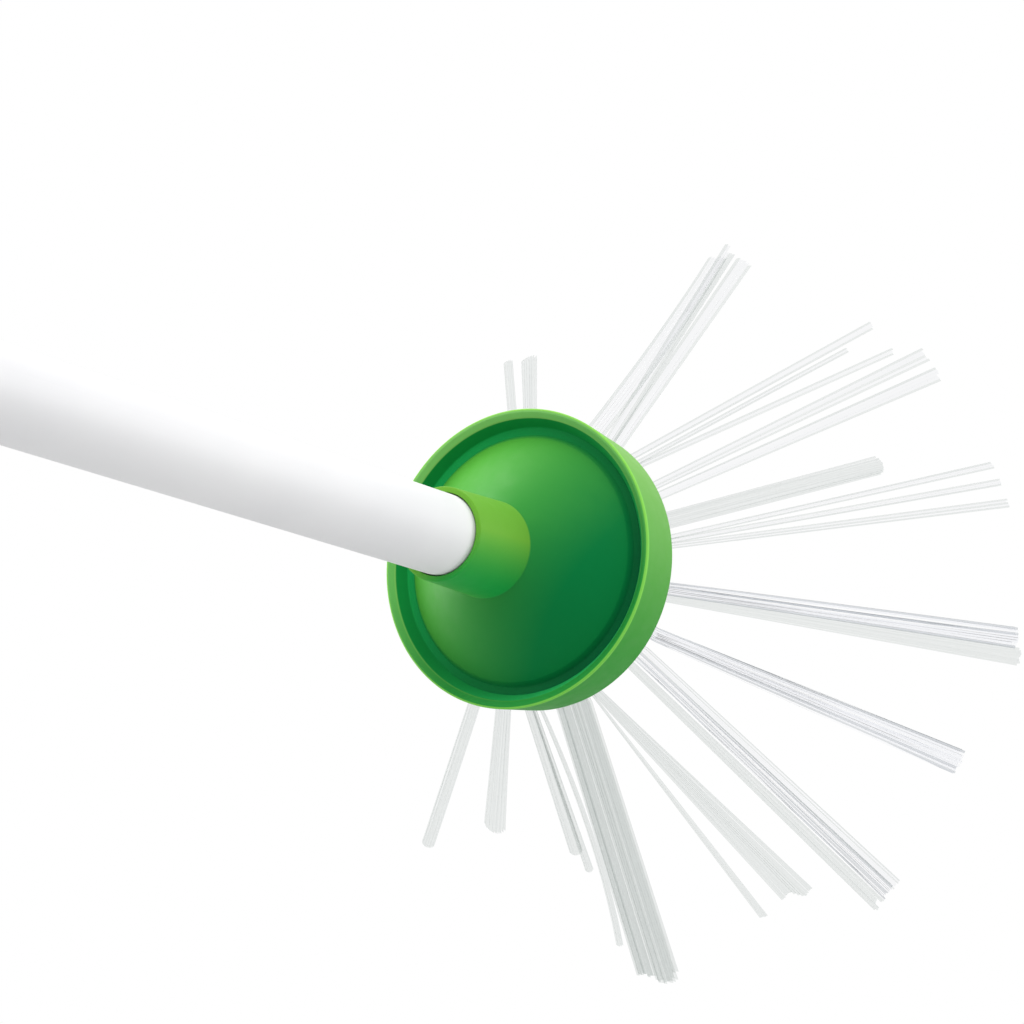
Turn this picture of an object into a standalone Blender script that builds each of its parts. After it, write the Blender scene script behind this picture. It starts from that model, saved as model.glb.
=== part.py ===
"""Spider catcher: a trigger on a pistol grip opens and closes a ring of soft bristle tufts.

Sizes are in metres. The tube runs along X with the bristle head at +X, and the grip hangs
towards -Z. The origin is on the tube's axis, above the middle of the hand grip. The trigger
is squeezed and the tufts are open, which is where every joint is at rest.
"""

import math
import random

import bmesh
import bpy
from mathutils import Matrix

# Gaps, overruns and facets
SEAT_GAP = 0.0003
CUT_OVERRUN = 0.002
MERGE_DISTANCE = 0.00001
CUP_STEPS = 44
RING_STEPS = 32
TUBE_STEPS = 28
ROUND_STEPS = 16
PIN_STEPS = 12
SCREW_STEPS = 8
SHARP_ANGLE = math.radians(35)
FLAT_ANGLE = math.radians(1)

# Tube and push rod
TUBE_RADIUS = 0.0105
TUBE_WALL = 0.00125
TUBE_LENGTH = 0.417
ROD_RADIUS = 0.0025
ROD_GUIDE_LENGTH = 0.015
GUIDE_FLANGE_LENGTH = 0.002

# Head cup, measured forward from the plane of its back rim
RIM_RADIUS = 0.040
RIM_EDGE = 0.0007
RIM_FACE_WIDTH = 0.0024
RIM_FACE_SLOPE = 0.0011
BAND_LENGTH = 0.0167
BAND_TAPER = 0.0018
BAND_WALL = 0.0022
GROOVE_WIDTH = 0.0036
GROOVE_DEPTH = 0.0042
CONE_EDGE_INSET = 0.0074
CONE_EDGE_DEPTH = 0.0027
CONE_BACK = 0.0132
CONE_WALL = 0.0022
COLLAR_ROOT_RADIUS = 0.0129
COLLAR_MOUTH_RADIUS = 0.0123
COLLAR_LENGTH = 0.0237
TUBE_STOP_RADIUS = 0.008
TUBE_STOP_LENGTH = 0.0018
LEDGE_DEPTH = 0.0066
LEDGE_WALL = 0.0006

# Tuft hinges
TUFT_COUNT = 16
FIRST_TUFT_ANGLE = math.radians(8.9)
OPEN_SPLAY = math.radians(43.7)
TUFT_SWING = math.radians(38)
HINGE_X = 0.020
HINGE_RADIUS = 0.018

# Tuft holders, measured from the hinge along the tuft
HUB_RADIUS = 0.0024
HUB_WIDTH = 0.0038
STUB_RADIUS = 0.001
STUB_SPAN = 0.0062
TAIL_LENGTH = 0.0095
TAIL_THICKNESS = 0.0018
TAIL_WIDTH = 0.0022
TAIL_END_RADIUS = 0.0014
NECK_THICKNESS = 0.0034
SOCKET_START = 0.0072
SOCKET_FLOOR = 0.0012
SOCKET_LENGTH = 0.006
SOCKET_WIDTH = 0.006
SOCKET_THICKNESS = 0.0048
SOCKET_WALL = 0.0007

# Bristles
TUFT_LENGTH = 0.112
STRAND_COLUMNS = 5
STRAND_ROWS = 4
PLUG_GAP = 0.0002
PLUG_STAND_OUT = 0.0004
STRAND_SPACE = 0.00016
TIP_DEPTH = 0.0028
TIP_STAGGER = 0.0003
TIP_STRAND_THICKNESS = 0.00045
STRAND_SHORTEST_SHARE = 0.95
STRAND_WIDTH_SHARE = 0.85
# The blades of each tuft, from left to right. A blade has its tip's place across, out of the ring
# and along, and its width there, as shares of the tuft's length, and its columns of strands.
TUFT_BLADE_SHARES = (
    ((-0.01, 0.0, 0.96, 0.09, 5),),
    ((-0.05, 0.0, 0.93, 0.04, 2), (0.005, 0.0, 0.98, 0.07, 3)),
    ((-0.06, 0.047, 0.96, 0.053, 3), (-0.005, 0.07, 0.98, 0.032, 2)),
    ((-0.19, -0.085, 0.99, 0.032, 2), (-0.15, -0.09, 0.96, 0.042, 3)),
    ((-0.037, 0.078, 1.02, 0.054, 2), (0.02, 0.1, 1.05, 0.056, 3)),
    ((-0.13, -0.06, 0.99, 0.018, 2), (-0.05, -0.06, 0.93, 0.014, 1), (-0.03, -0.06, 1.05, 0.024, 2)),
    ((0.012, 0.062, 1.0, 0.042, 3), (0.055, 0.075, 1.01, 0.035, 2)),
    ((-0.004, 0.011, 1.04, 0.02, 1), (0.03, 0.03, 1.02, 0.016, 1), (0.06, 0.02, 1.01, 0.016, 1),
     (0.12, -0.14, 0.79, 0.049, 2)),
    ((-0.012, 0.005, 1.045, 0.08, 5),),
    ((0.01, 0.0, 0.99, 0.06, 5),),
    ((-0.05, 0.018, 1.05, 0.031, 2), (-0.013, 0.022, 1.045, 0.028, 2), (0.014, 0.016, 1.045, 0.026, 1)),
    ((-0.017, -0.07, 0.98, 0.026, 1), (0.07, -0.09, 0.96, 0.084, 4)),
    ((0.0, 0.032, 1.08, 0.12, 5),),
    ((-0.018, -0.137, 0.93, 0.04, 2), (0.022, -0.149, 0.98, 0.04, 2), (0.09, -0.11, 1.09, 0.027, 1)),
    ((-0.01, 0.108, 1.035, 0.044, 2), (0.064, -0.045, 0.96, 0.096, 3)),
    ((-0.005, 0.015, 0.8, 0.085, 5),),
)

# Hinge ring and front cover
RING_PLATE_LENGTH = 0.003
RING_BORE_RADIUS = 0.014
RING_HUB_RADIUS = 0.0226
RING_FRONT_LENGTH = 0.0026
SLOT_SIDE_GAP = 0.0003
SLOT_FLOOR_X = 0.0115
CHANNEL_SIDE_GAP = 0.0003
CHANNEL_OUTER_GAP = 0.0006
COVER_THICKNESS = 0.002
COVER_DISC_RADIUS = 0.0148
DOME_WALL = 0.0018
DOME_GAP = 0.0006

# Plunger
GROOVE_SIDE_GAP = 0.0002
FLANGE_RADIUS = 0.0102
FLANGE_THICKNESS = 0.0015
SPOOL_RADIUS = 0.0067
PLUNGER_HUB_RADIUS = 0.005
PLUNGER_HUB_LENGTH = 0.0095

# Small screws in the head
COVER_SCREW_COUNT = 4
COVER_SCREW_RING = 0.021
COVER_SCREW_RADIUS = 0.0007
COVER_SCREW_HEAD_RADIUS = 0.00145
COVER_SCREW_LENGTH = 0.009
RING_SCREW_COUNT = 3
RING_SCREW_RADIUS = 0.0012
RING_SCREW_LENGTH = 0.0062
RING_SCREW_INSET_SHARE = 0.11
RING_SCREW_HEAD_SHARE = 0.06

# Trigger linkage
TRIGGER_SWING = math.radians(26)
PIVOT_AHEAD = 0.011
PIVOT_PIN_RADIUS = 0.002
PIVOT_PIN_LENGTH = 0.022
CROSS_PIN_RADIUS = 0.00125
CROSS_PIN_LENGTH = 0.0128
ROD_TAIL = 0.005
ARM_LENGTH = 0.0185
ARM_WIDTH = 0.0076
FORK_HALF_GAP = 0.0031
FORK_ROOT = 0.008
SLOT_ROOT = 0.0108
TRIGGER_HUB_RADIUS = 0.0062
TRIGGER_HALF_WIDTH = 0.0065
TRIGGER_HUB_HALF_WIDTH = 0.007
BLADE_HALF_WIDTH = 0.008
BLADE_ROUNDING = 0.0025
BLADE_LENGTH = 0.075
BLADE_DEPTH = 0.0195

# Return spring
SPRING_RADIUS = 0.0046
SPRING_WIRE_RADIUS = 0.0006
SPRING_TURNS = 7
SPRING_POINTS_PER_TURN = 8
SPRING_COLLAR_RADIUS = 0.0057
SPRING_COLLAR_LENGTH = 0.003
SPRING_LENGTH = 0.020

# Handle shells: a barrel that holds the tube, a grip below it and a nose in front of it
BARREL_FRONT = 0.066
BARREL_TOP = 0.0195
BARREL_DEPTH = 0.0245
GRIP_FRONT = 0.015
GRIP_DEPTH = 0.047
GRIP_DROP = 0.122
TUBE_INSERT = 0.0259
HANDLE_HALF_WIDTH = 0.0145
HANDLE_WALL = 0.0025
HANDLE_ROUNDING = 0.007
NOSE_LENGTH = 0.018
NOSE_WALL = 0.0035
NOSE_EDGE = 0.0015
NOSE_OVERLAP = 0.030
TRIGGER_DOOR_LENGTH = 0.027
TRIGGER_DOOR_FRONT = 0.0155
TRIGGER_DOOR_DEPTH = 0.024
BOSS_RADIUS = 0.0038
BOSS_CLEARANCE = 0.001
PIVOT_BOSS_RADIUS = 0.005
EYE_RADIUS = 0.0045
EYE_WALL = 0.0025
HANDLE_SCREW_RADIUS = 0.0014
HANDLE_SCREW_HEAD_RADIUS = 0.0028
HANDLE_SCREW_HEAD_LENGTH = 0.002
HANDLE_SCREW_REACH = 0.008
TUBE_SCREW_REACH = 0.0075

# Side view of the handle, from the barrel's front over the top, round the grip and back
BARREL_TOP_SHARES = ((1.0, 0.71), (0.612, 0.783), (0.147, 0.897))
GRIP_TOP_SHARES = ((0.102, 1.0), (0.62, 0.97), (0.92, 0.62), (1.0, 0.0))
GRIP_SHARES = (
    (0.87, 0.115), (0.766, 0.246), (0.787, 0.452), (0.915, 0.672), (1.055, 0.869),
    (1.02, 0.96), (0.755, 1.0), (0.455, 0.977), (0.287, 0.896), (0.223, 0.754),
    (0.128, 0.557), (0.034, 0.377), (0.0, 0.262),
)
BARREL_UNDER_SHARES = ((-0.115, 1.0), (0.127, 0.96), (0.418, 0.9), (0.709, 0.72), (1.0, 0.59))
# Places of the two grip screws and of the hanging eye
GRIP_SCREW_SHARES = ((0.483, 0.478), (0.672, 0.838))
EYE_SHARE = (0.62, 0.347)
# Side view of the trigger blade, as shares of its depth forward of the pivot and of its length down
BLADE_OUTLINE_SHARES = (
    (0.26, 0.02), (0.34, 0.18), (0.34, 0.35), (0.16, 0.54), (-0.05, 0.72), (-0.17, 0.86),
    (-0.12, 0.95), (-0.33, 1.0), (-0.58, 0.985), (-0.67, 0.88), (-0.6, 0.72), (-0.42, 0.54),
    (-0.28, 0.35), (-0.28, 0.18), (-0.26, 0.02),
)

# Colours as (red, green, blue), roughness and metallic value
GREEN_PLASTIC = ((0.10, 0.42, 0.09), 0.42, 0.0)
DARK_GREEN_PLASTIC = ((0.02, 0.20, 0.06), 0.45, 0.0)
WHITE_PLASTIC = ((0.86, 0.86, 0.86), 0.30, 0.0)
GREY_PLASTIC = ((0.30, 0.31, 0.32), 0.50, 0.0)
CLEAR_BRISTLE = ((0.80, 0.82, 0.81), 0.25, 0.0)
STEEL = ((0.60, 0.60, 0.60), 0.30, 1.0)

# Places worked out from the sizes above
TUBE_BORE_RADIUS = TUBE_RADIUS - TUBE_WALL
COLLAR_BORE_RADIUS = TUBE_RADIUS + SEAT_GAP
TUBE_REAR_X = BARREL_FRONT - TUBE_INSERT
TUBE_FRONT_X = TUBE_REAR_X + TUBE_LENGTH
RIM_X = TUBE_FRONT_X - SEAT_GAP + CONE_BACK
CONE_EDGE_RADIUS = RIM_RADIUS - CONE_EDGE_INSET
BAND_INNER_RADIUS = RIM_RADIUS - BAND_TAPER - BAND_WALL
RING_OUTER_RADIUS = BAND_INNER_RADIUS - SEAT_GAP
RING_SCREW_RING = RING_OUTER_RADIUS - RIM_RADIUS * RING_SCREW_INSET_SHARE
RING_SCREW_HEAD_RADIUS = RIM_RADIUS * RING_SCREW_HEAD_SHARE
LEDGE_INNER_RADIUS = RING_SCREW_RING - RING_SCREW_RADIUS - LEDGE_WALL
ROD_BORE_RADIUS = ROD_RADIUS + SEAT_GAP
PIVOT_HINGE_X = RIM_X + HINGE_X
PIVOT_X = PIVOT_AHEAD - GRIP_FRONT
PLUNGER_TRAVEL = 2 * TAIL_LENGTH * math.sin(TUFT_SWING / 2)
TAIL_TURN = OPEN_SPLAY - TUFT_SWING / 2 + math.radians(90)
PIVOT_DROP = PLUNGER_TRAVEL / (2 * math.tan(TRIGGER_SWING / 2))
CROSS_PIN_X = PIVOT_X + PLUNGER_TRAVEL / 2
SLOT_WIDTH = HUB_WIDTH + 2 * SLOT_SIDE_GAP
RING_FRONT_X = PIVOT_HINGE_X + RING_FRONT_LENGTH
COVER_REAR_X = RING_FRONT_X + SEAT_GAP
RING_SCREW_SEAT_X = RIM_X + LEDGE_DEPTH + RING_PLATE_LENGTH + 2 * SEAT_GAP
PLUNGER_X = PIVOT_HINGE_X + PLUNGER_TRAVEL / 2
SPOOL_HALF_GROOVE = TAIL_END_RADIUS + GROOVE_SIDE_GAP
GUIDE_REAR_X = TUBE_REAR_X - SEAT_GAP - GUIDE_FLANGE_LENGTH
SPRING_FRONT_X = GUIDE_REAR_X - SEAT_GAP
SPRING_REAR_X = SPRING_FRONT_X - SPRING_LENGTH
NOSE_X = BARREL_FRONT + NOSE_LENGTH
NOSE_RADIUS = COLLAR_BORE_RADIUS + NOSE_WALL
TUBE_SCREW_X = BARREL_FRONT


def clear_scene():
    for obj in list(bpy.data.objects):
        bpy.data.objects.remove(obj, do_unlink=True)
    for collection in list(bpy.data.collections):
        bpy.data.collections.remove(collection)


def new_collection(name, hidden=False):
    collection = bpy.data.collections.new(name)
    collection.hide_render = hidden
    bpy.context.scene.collection.children.link(collection)
    return collection


def new_material(name, finish):
    colour, roughness, metallic = finish
    material = bpy.data.materials.new(name)
    material.use_nodes = True
    material.diffuse_color = (*colour, 1.0)
    shader = material.node_tree.nodes["Principled BSDF"]
    shader.inputs["Base Color"].default_value = (*colour, 1.0)
    shader.inputs["Roughness"].default_value = roughness
    shader.inputs["Metallic"].default_value = metallic
    return material


def mesh_from(bm, name):
    bmesh.ops.recalc_face_normals(bm, faces=bm.faces)
    mesh = bpy.data.meshes.new(name)
    bm.to_mesh(mesh)
    bm.free()
    return mesh


def place(name, mesh, matrix=None):
    obj = bpy.data.objects.new(name, mesh)
    if matrix is not None:
        obj.matrix_world = matrix
    PARTS.objects.link(obj)
    return obj


def as_cutter(obj):
    PARTS.objects.unlink(obj)
    CUTTERS.objects.link(obj)
    obj.hide_render = True
    obj.display_type = "WIRE"
    return obj


def boolean(obj, other, operation="DIFFERENCE"):
    modifier = obj.modifiers.new(other.name, "BOOLEAN")
    modifier.operation = operation
    modifier.object = other
    return obj


def baked_mesh(obj):
    """The object's evaluated mesh as a plain one, smooth but for its sharp edges."""
    bpy.context.view_layer.update()
    graph = bpy.context.evaluated_depsgraph_get()
    mesh = bpy.data.meshes.new_from_object(obj.evaluated_get(graph), depsgraph=graph)
    mesh.shade_smooth()
    mesh.set_sharp_from_angle(angle=SHARP_ANGLE)
    return mesh


def settle(obj, finish):
    """Swaps the object's modifiers for their result and gives it its material."""
    mesh = baked_mesh(obj)
    mesh.materials.clear()
    mesh.materials.append(new_material(obj.name + "_material", finish))
    obj.modifiers.clear()
    obj.data = mesh
    return obj


def turned(name, profile, steps, hollow=True):
    """A solid of revolution about X. The profile's points are (x, radius), front to rear outside."""
    bm = bmesh.new()
    points = [bm.verts.new((radius, 0, x)) for x, radius in profile]
    for first, second in zip(points, points[1:]):
        bm.edges.new((first, second))
    if hollow:
        bm.edges.new((points[-1], points[0]))
    mesh = bpy.data.meshes.new(name)
    bm.to_mesh(mesh)
    bm.free()
    obj = place(name, mesh, Matrix.Rotation(math.radians(90), 4, "Y"))
    screw = obj.modifiers.new("turn", "SCREW")
    screw.steps = steps
    screw.render_steps = steps
    screw.use_merge_vertices = True
    screw.merge_threshold = MERGE_DISTANCE
    return obj


def cylinder(bm, radius, low, high, steps, matrix):
    """Adds a cylinder along the matrix's Y axis, from low to high."""
    middle = Matrix.Translation((0, (low + high) / 2, 0)) @ Matrix.Rotation(math.radians(90), 4, "X")
    bmesh.ops.create_cone(
        bm, cap_ends=True, segments=steps, radius1=radius, radius2=radius,
        depth=high - low, matrix=matrix @ middle,
    )


def box(bm, low, high, matrix=None):
    middle = Matrix.Translation([(a + b) / 2 for a, b in zip(low, high)])
    size = Matrix.Diagonal([b - a for a, b in zip(low, high)] + [1])
    bmesh.ops.create_cube(bm, size=1, matrix=(matrix or Matrix.Identity(4)) @ middle @ size)


def solid(name, add, *args):
    """An object made by one call that adds shapes to a bmesh."""
    bm = bmesh.new()
    add(bm, *args)
    return place(name, mesh_from(bm, name))


def smooth_outline(points, parts):
    """A closed curve through the points, with this many stretches between each two."""
    outline = []
    count = len(points)
    for i in range(count):
        before, start, end, after = (points[(i + j) % count] for j in (-1, 0, 1, 2))
        for part in range(parts):
            t = part / parts
            outline.append(tuple(
                0.5 * (2 * b + (c - a) * t + (2 * a - 5 * b + 4 * c - d) * t * t
                       + (3 * b - a - 3 * c + d) * t ** 3)
                for a, b, c, d in zip(before, start, end, after)
            ))
    return outline


def curve_solid(name, curve, matrix):
    """The curve's own shape as a welded mesh object."""
    guide = place(name + "_curve", curve, matrix)
    bpy.context.view_layer.update()
    graph = bpy.context.evaluated_depsgraph_get()
    mesh = bpy.data.meshes.new_from_object(guide.evaluated_get(graph), depsgraph=graph)
    bm = bmesh.new()
    bm.from_mesh(mesh)
    bmesh.ops.remove_doubles(bm, verts=bm.verts, dist=MERGE_DISTANCE)
    bmesh.ops.dissolve_limit(bm, angle_limit=FLAT_ANGLE, verts=bm.verts, edges=bm.edges)
    obj = place(name, mesh_from(bm, name), guide.matrix_world)
    bpy.data.objects.remove(guide)
    return obj


def plate(name, outline, half_width, rounding, segments):
    """A flat piece with this outline in X and Z, as wide in Y, with rounded edges."""
    curve = bpy.data.curves.new(name, "CURVE")
    curve.dimensions = "2D"
    curve.fill_mode = "BOTH"
    curve.extrude = half_width
    spline = curve.splines.new("POLY")
    spline.points.add(len(outline) - 1)
    spline.use_cyclic_u = True
    for point, (x, z) in zip(spline.points, outline):
        point.co = (x, z, 0, 1)
    obj = curve_solid(name, curve, Matrix.Rotation(math.radians(90), 4, "X"))
    if rounding:
        bevel = obj.modifiers.new("rounding", "BEVEL")
        bevel.width = rounding
        bevel.segments = segments
        bevel.limit_method = "ANGLE"
        bevel.angle_limit = math.radians(50)
        bevel.use_clamp_overlap = False
    return obj


def head_cup():
    groove_outer = RIM_RADIUS - RIM_FACE_WIDTH - (GROOVE_DEPTH - RIM_FACE_SLOPE) / 3
    front = RIM_X + BAND_LENGTH
    cone_rise = CONE_BACK + CONE_EDGE_DEPTH
    cone_run = CONE_EDGE_RADIUS - COLLAR_ROOT_RADIUS
    cone_shift = CONE_WALL * math.hypot(cone_rise, cone_run) / cone_run
    stop_rear = TUBE_FRONT_X + SEAT_GAP
    stop_front = stop_rear + TUBE_STOP_LENGTH
    slope = cone_rise / cone_run
    cone_start = RIM_X - CONE_BACK + cone_shift

    def inner_cone_radius(x):
        return COLLAR_ROOT_RADIUS + (x - cone_start) / slope

    cone_end = cone_start + (LEDGE_INNER_RADIUS - COLLAR_ROOT_RADIUS) * slope
    collar_mouth = RIM_X - CONE_BACK - COLLAR_LENGTH
    obj = turned("head_cup", [
        (front, BAND_INNER_RADIUS),
        (front, RIM_RADIUS - BAND_TAPER - RIM_EDGE / 2),
        (front - RIM_EDGE / 2, RIM_RADIUS - BAND_TAPER),
        (RIM_X + RIM_EDGE, RIM_RADIUS),
        (RIM_X, RIM_RADIUS - RIM_EDGE),
        (RIM_X + RIM_FACE_SLOPE, RIM_RADIUS - RIM_FACE_WIDTH),
        (RIM_X + GROOVE_DEPTH, groove_outer),
        (RIM_X + GROOVE_DEPTH, groove_outer - GROOVE_WIDTH + RIM_EDGE),
        (RIM_X + CONE_EDGE_DEPTH, CONE_EDGE_RADIUS),
        (RIM_X - CONE_BACK, COLLAR_ROOT_RADIUS),
        (collar_mouth + RIM_EDGE / 2, COLLAR_MOUTH_RADIUS),
        (collar_mouth, COLLAR_MOUTH_RADIUS - RIM_EDGE / 2),
        (collar_mouth, COLLAR_BORE_RADIUS),
        (stop_rear, COLLAR_BORE_RADIUS),
        (stop_rear, TUBE_STOP_RADIUS),
        (stop_front, TUBE_STOP_RADIUS),
        (stop_front, inner_cone_radius(stop_front)),
        (cone_end, LEDGE_INNER_RADIUS),
        (RIM_X + LEDGE_DEPTH, LEDGE_INNER_RADIUS),
        (RIM_X + LEDGE_DEPTH, BAND_INNER_RADIUS),
    ], CUP_STEPS)
    holes = solid("ring_screw_pilots", screw_holes, ring_screw_angles(), RING_SCREW_RING,
                  RING_SCREW_RADIUS + SEAT_GAP, RING_SCREW_SEAT_X - RING_SCREW_LENGTH - SEAT_GAP,
                  RIM_X + LEDGE_DEPTH + CUT_OVERRUN)
    return boolean(obj, as_cutter(holes))


def cell_matrix(angle):
    """Turns a piece made in the XZ plane above the axis to this angle round the tube's axis."""
    return Matrix.Rotation(angle - math.radians(90), 4, "X")


def tuft_angle(index):
    return FIRST_TUFT_ANGLE + index * math.radians(360) / TUFT_COUNT


def rib_angle(index):
    return tuft_angle(index) + math.radians(180) / TUFT_COUNT


def radial_slots(bm, inner_radius, low_x, high_x):
    """One straight slot for each tuft holder."""
    for index in range(TUFT_COUNT):
        box(
            bm,
            (low_x, -SLOT_WIDTH / 2, inner_radius),
            (high_x, SLOT_WIDTH / 2, RING_HUB_RADIUS + CUT_OVERRUN),
            cell_matrix(tuft_angle(index)),
        )


def along_x(angle, radius):
    """A frame at this angle and radius whose Y axis points forward along the tube."""
    return cell_matrix(angle) @ Matrix.Translation((0, 0, radius)) @ Matrix.Rotation(
        math.radians(-90), 4, "Z")


def screw_holes(bm, angles, ring, radius, low_x, high_x):
    for angle in angles:
        cylinder(bm, radius, low_x, high_x, SCREW_STEPS, along_x(angle, ring))


def cover_screw_angles():
    step = TUFT_COUNT // COVER_SCREW_COUNT
    return [rib_angle(step * index) for index in range(COVER_SCREW_COUNT)]


def ring_screw_angles():
    step = math.radians(360) / RING_SCREW_COUNT
    return [rib_angle(0) + step * index for index in range(RING_SCREW_COUNT)]


def hinge_ring():
    rear = RIM_X + LEDGE_DEPTH + SEAT_GAP
    plate_front = rear + RING_PLATE_LENGTH
    channel_floor = PIVOT_HINGE_X - STUB_RADIUS - CHANNEL_SIDE_GAP
    channel_inner = HINGE_RADIUS - STUB_RADIUS - CHANNEL_SIDE_GAP
    channel_outer = HINGE_RADIUS + STUB_RADIUS + CHANNEL_OUTER_GAP
    obj = turned("hinge_ring", [
        (RING_FRONT_X, RING_BORE_RADIUS),
        (RING_FRONT_X, channel_inner),
        (channel_floor, channel_inner),
        (channel_floor, channel_outer),
        (RING_FRONT_X, channel_outer),
        (RING_FRONT_X, RING_HUB_RADIUS),
        (plate_front, RING_HUB_RADIUS),
        (plate_front, RING_OUTER_RADIUS),
        (rear, RING_OUTER_RADIUS),
        (rear, RING_BORE_RADIUS),
    ], RING_STEPS)
    slots = solid("ring_slots", radial_slots, RING_BORE_RADIUS - 2 * SEAT_GAP,
                  RIM_X + SLOT_FLOOR_X, RING_FRONT_X + CUT_OVERRUN)
    boolean(obj, as_cutter(slots))
    cover_holes = solid(
        "cover_screw_pilots", screw_holes, cover_screw_angles(), COVER_SCREW_RING,
        COVER_SCREW_RADIUS + SEAT_GAP / 2,
        COVER_REAR_X + COVER_THICKNESS - COVER_SCREW_LENGTH - SEAT_GAP, RING_FRONT_X + CUT_OVERRUN)
    boolean(obj, as_cutter(cover_holes))
    plate_holes = solid(
        "ring_screw_holes", screw_holes, ring_screw_angles(), RING_SCREW_RING,
        RING_SCREW_RADIUS + SEAT_GAP, rear - CUT_OVERRUN, plate_front + CUT_OVERRUN)
    return boolean(obj, as_cutter(plate_holes))


def front_cover():
    front = COVER_REAR_X + COVER_THICKNESS
    rib_end = PIVOT_HINGE_X + STUB_RADIUS + SEAT_GAP
    rib_inner = HINGE_RADIUS - STUB_RADIUS
    rib_outer = HINGE_RADIUS + STUB_RADIUS + SEAT_GAP
    dome_floor = PLUNGER_X + SPOOL_HALF_GROOVE + FLANGE_THICKNESS + DOME_GAP
    dome_top = dome_floor + DOME_WALL
    wide = COVER_DISC_RADIUS - DOME_WALL
    obj = turned("front_cover", [
        (dome_top + DOME_GAP, 0),
        (dome_top + DOME_GAP / 2, COVER_DISC_RADIUS / 2),
        (dome_top - DOME_GAP, COVER_DISC_RADIUS * 3 / 4),
        (front + DOME_GAP, COVER_DISC_RADIUS - DOME_GAP),
        (front, COVER_DISC_RADIUS),
        (front, RING_HUB_RADIUS),
        (COVER_REAR_X, RING_HUB_RADIUS),
        (COVER_REAR_X, rib_outer),
        (rib_end, rib_outer),
        (rib_end, rib_inner),
        (COVER_REAR_X, rib_inner),
        (COVER_REAR_X, wide),
        (dome_floor, FLANGE_RADIUS + DOME_GAP),
        (dome_floor, 0),
    ], RING_STEPS, hollow=False)
    slots = solid("cover_slots", radial_slots, COVER_DISC_RADIUS, rib_end - CUT_OVERRUN,
                  front + CUT_OVERRUN)
    boolean(obj, as_cutter(slots))
    holes = solid(
        "cover_screw_holes", screw_holes, cover_screw_angles(), COVER_SCREW_RING,
        COVER_SCREW_RADIUS + SEAT_GAP, COVER_REAR_X - CUT_OVERRUN, front + CUT_OVERRUN)
    return boolean(obj, as_cutter(holes))


def plunger():
    front = PLUNGER_X + SPOOL_HALF_GROOVE + FLANGE_THICKNESS
    rear = PLUNGER_X - SPOOL_HALF_GROOVE - FLANGE_THICKNESS
    return turned("plunger", [
        (front, 0),
        (front, FLANGE_RADIUS),
        (PLUNGER_X + SPOOL_HALF_GROOVE, FLANGE_RADIUS),
        (PLUNGER_X + SPOOL_HALF_GROOVE, SPOOL_RADIUS),
        (PLUNGER_X - SPOOL_HALF_GROOVE, SPOOL_RADIUS),
        (PLUNGER_X - SPOOL_HALF_GROOVE, FLANGE_RADIUS),
        (rear, FLANGE_RADIUS),
        (rear, PLUNGER_HUB_RADIUS),
        (rear - PLUNGER_HUB_LENGTH, PLUNGER_HUB_RADIUS),
        (rear - PLUNGER_HUB_LENGTH, ROD_BORE_RADIUS),
        (front - FLANGE_THICKNESS, ROD_BORE_RADIUS),
        (front - FLANGE_THICKNESS, 0),
    ], ROUND_STEPS, hollow=False)


def push_rod():
    front = PLUNGER_X + SPOOL_HALF_GROOVE - SEAT_GAP
    rear = CROSS_PIN_X - ROD_TAIL
    obj = turned("push_rod", [(front, 0), (front, ROD_RADIUS), (rear, ROD_RADIUS), (rear, 0)],
                 PIN_STEPS, hollow=False)
    hole = solid("cross_pin_hole", cylinder, CROSS_PIN_RADIUS + SEAT_GAP, -ROD_RADIUS - CUT_OVERRUN,
                 ROD_RADIUS + CUT_OVERRUN, SCREW_STEPS, Matrix.Translation((CROSS_PIN_X, 0, 0)))
    return boolean(obj, as_cutter(hole))


def ring_profile(rear, front, inner, outer):
    return [(front, inner), (front, outer), (rear, outer), (rear, inner)]


def tube():
    obj = turned("tube", ring_profile(TUBE_REAR_X, TUBE_FRONT_X, TUBE_BORE_RADIUS, TUBE_RADIUS),
                 TUBE_STEPS)
    hole = solid("tube_screw_hole", cylinder, HANDLE_SCREW_RADIUS + SEAT_GAP,
                 -TUBE_RADIUS - CUT_OVERRUN, -TUBE_BORE_RADIUS + CUT_OVERRUN, SCREW_STEPS,
                 Matrix.Translation((TUBE_SCREW_X, 0, 0)))
    return boolean(obj, as_cutter(hole))


def front_rod_guide():
    return turned("front_rod_guide", ring_profile(
        TUBE_FRONT_X - ROD_GUIDE_LENGTH, TUBE_FRONT_X, ROD_BORE_RADIUS,
        TUBE_BORE_RADIUS - SEAT_GAP), PIN_STEPS)


def rear_rod_guide():
    return turned("rear_rod_guide", [
        (TUBE_REAR_X + ROD_GUIDE_LENGTH, ROD_BORE_RADIUS),
        (TUBE_REAR_X + ROD_GUIDE_LENGTH, TUBE_BORE_RADIUS - SEAT_GAP),
        (TUBE_REAR_X - SEAT_GAP, TUBE_BORE_RADIUS - SEAT_GAP),
        (TUBE_REAR_X - SEAT_GAP, TUBE_RADIUS),
        (GUIDE_REAR_X, TUBE_RADIUS),
        (GUIDE_REAR_X, ROD_BORE_RADIUS),
    ], PIN_STEPS)


def spring_collar():
    front = SPRING_REAR_X - SEAT_GAP
    return turned("spring_collar", ring_profile(
        front - SPRING_COLLAR_LENGTH, front, ROD_BORE_RADIUS, SPRING_COLLAR_RADIUS), ROUND_STEPS)


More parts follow.
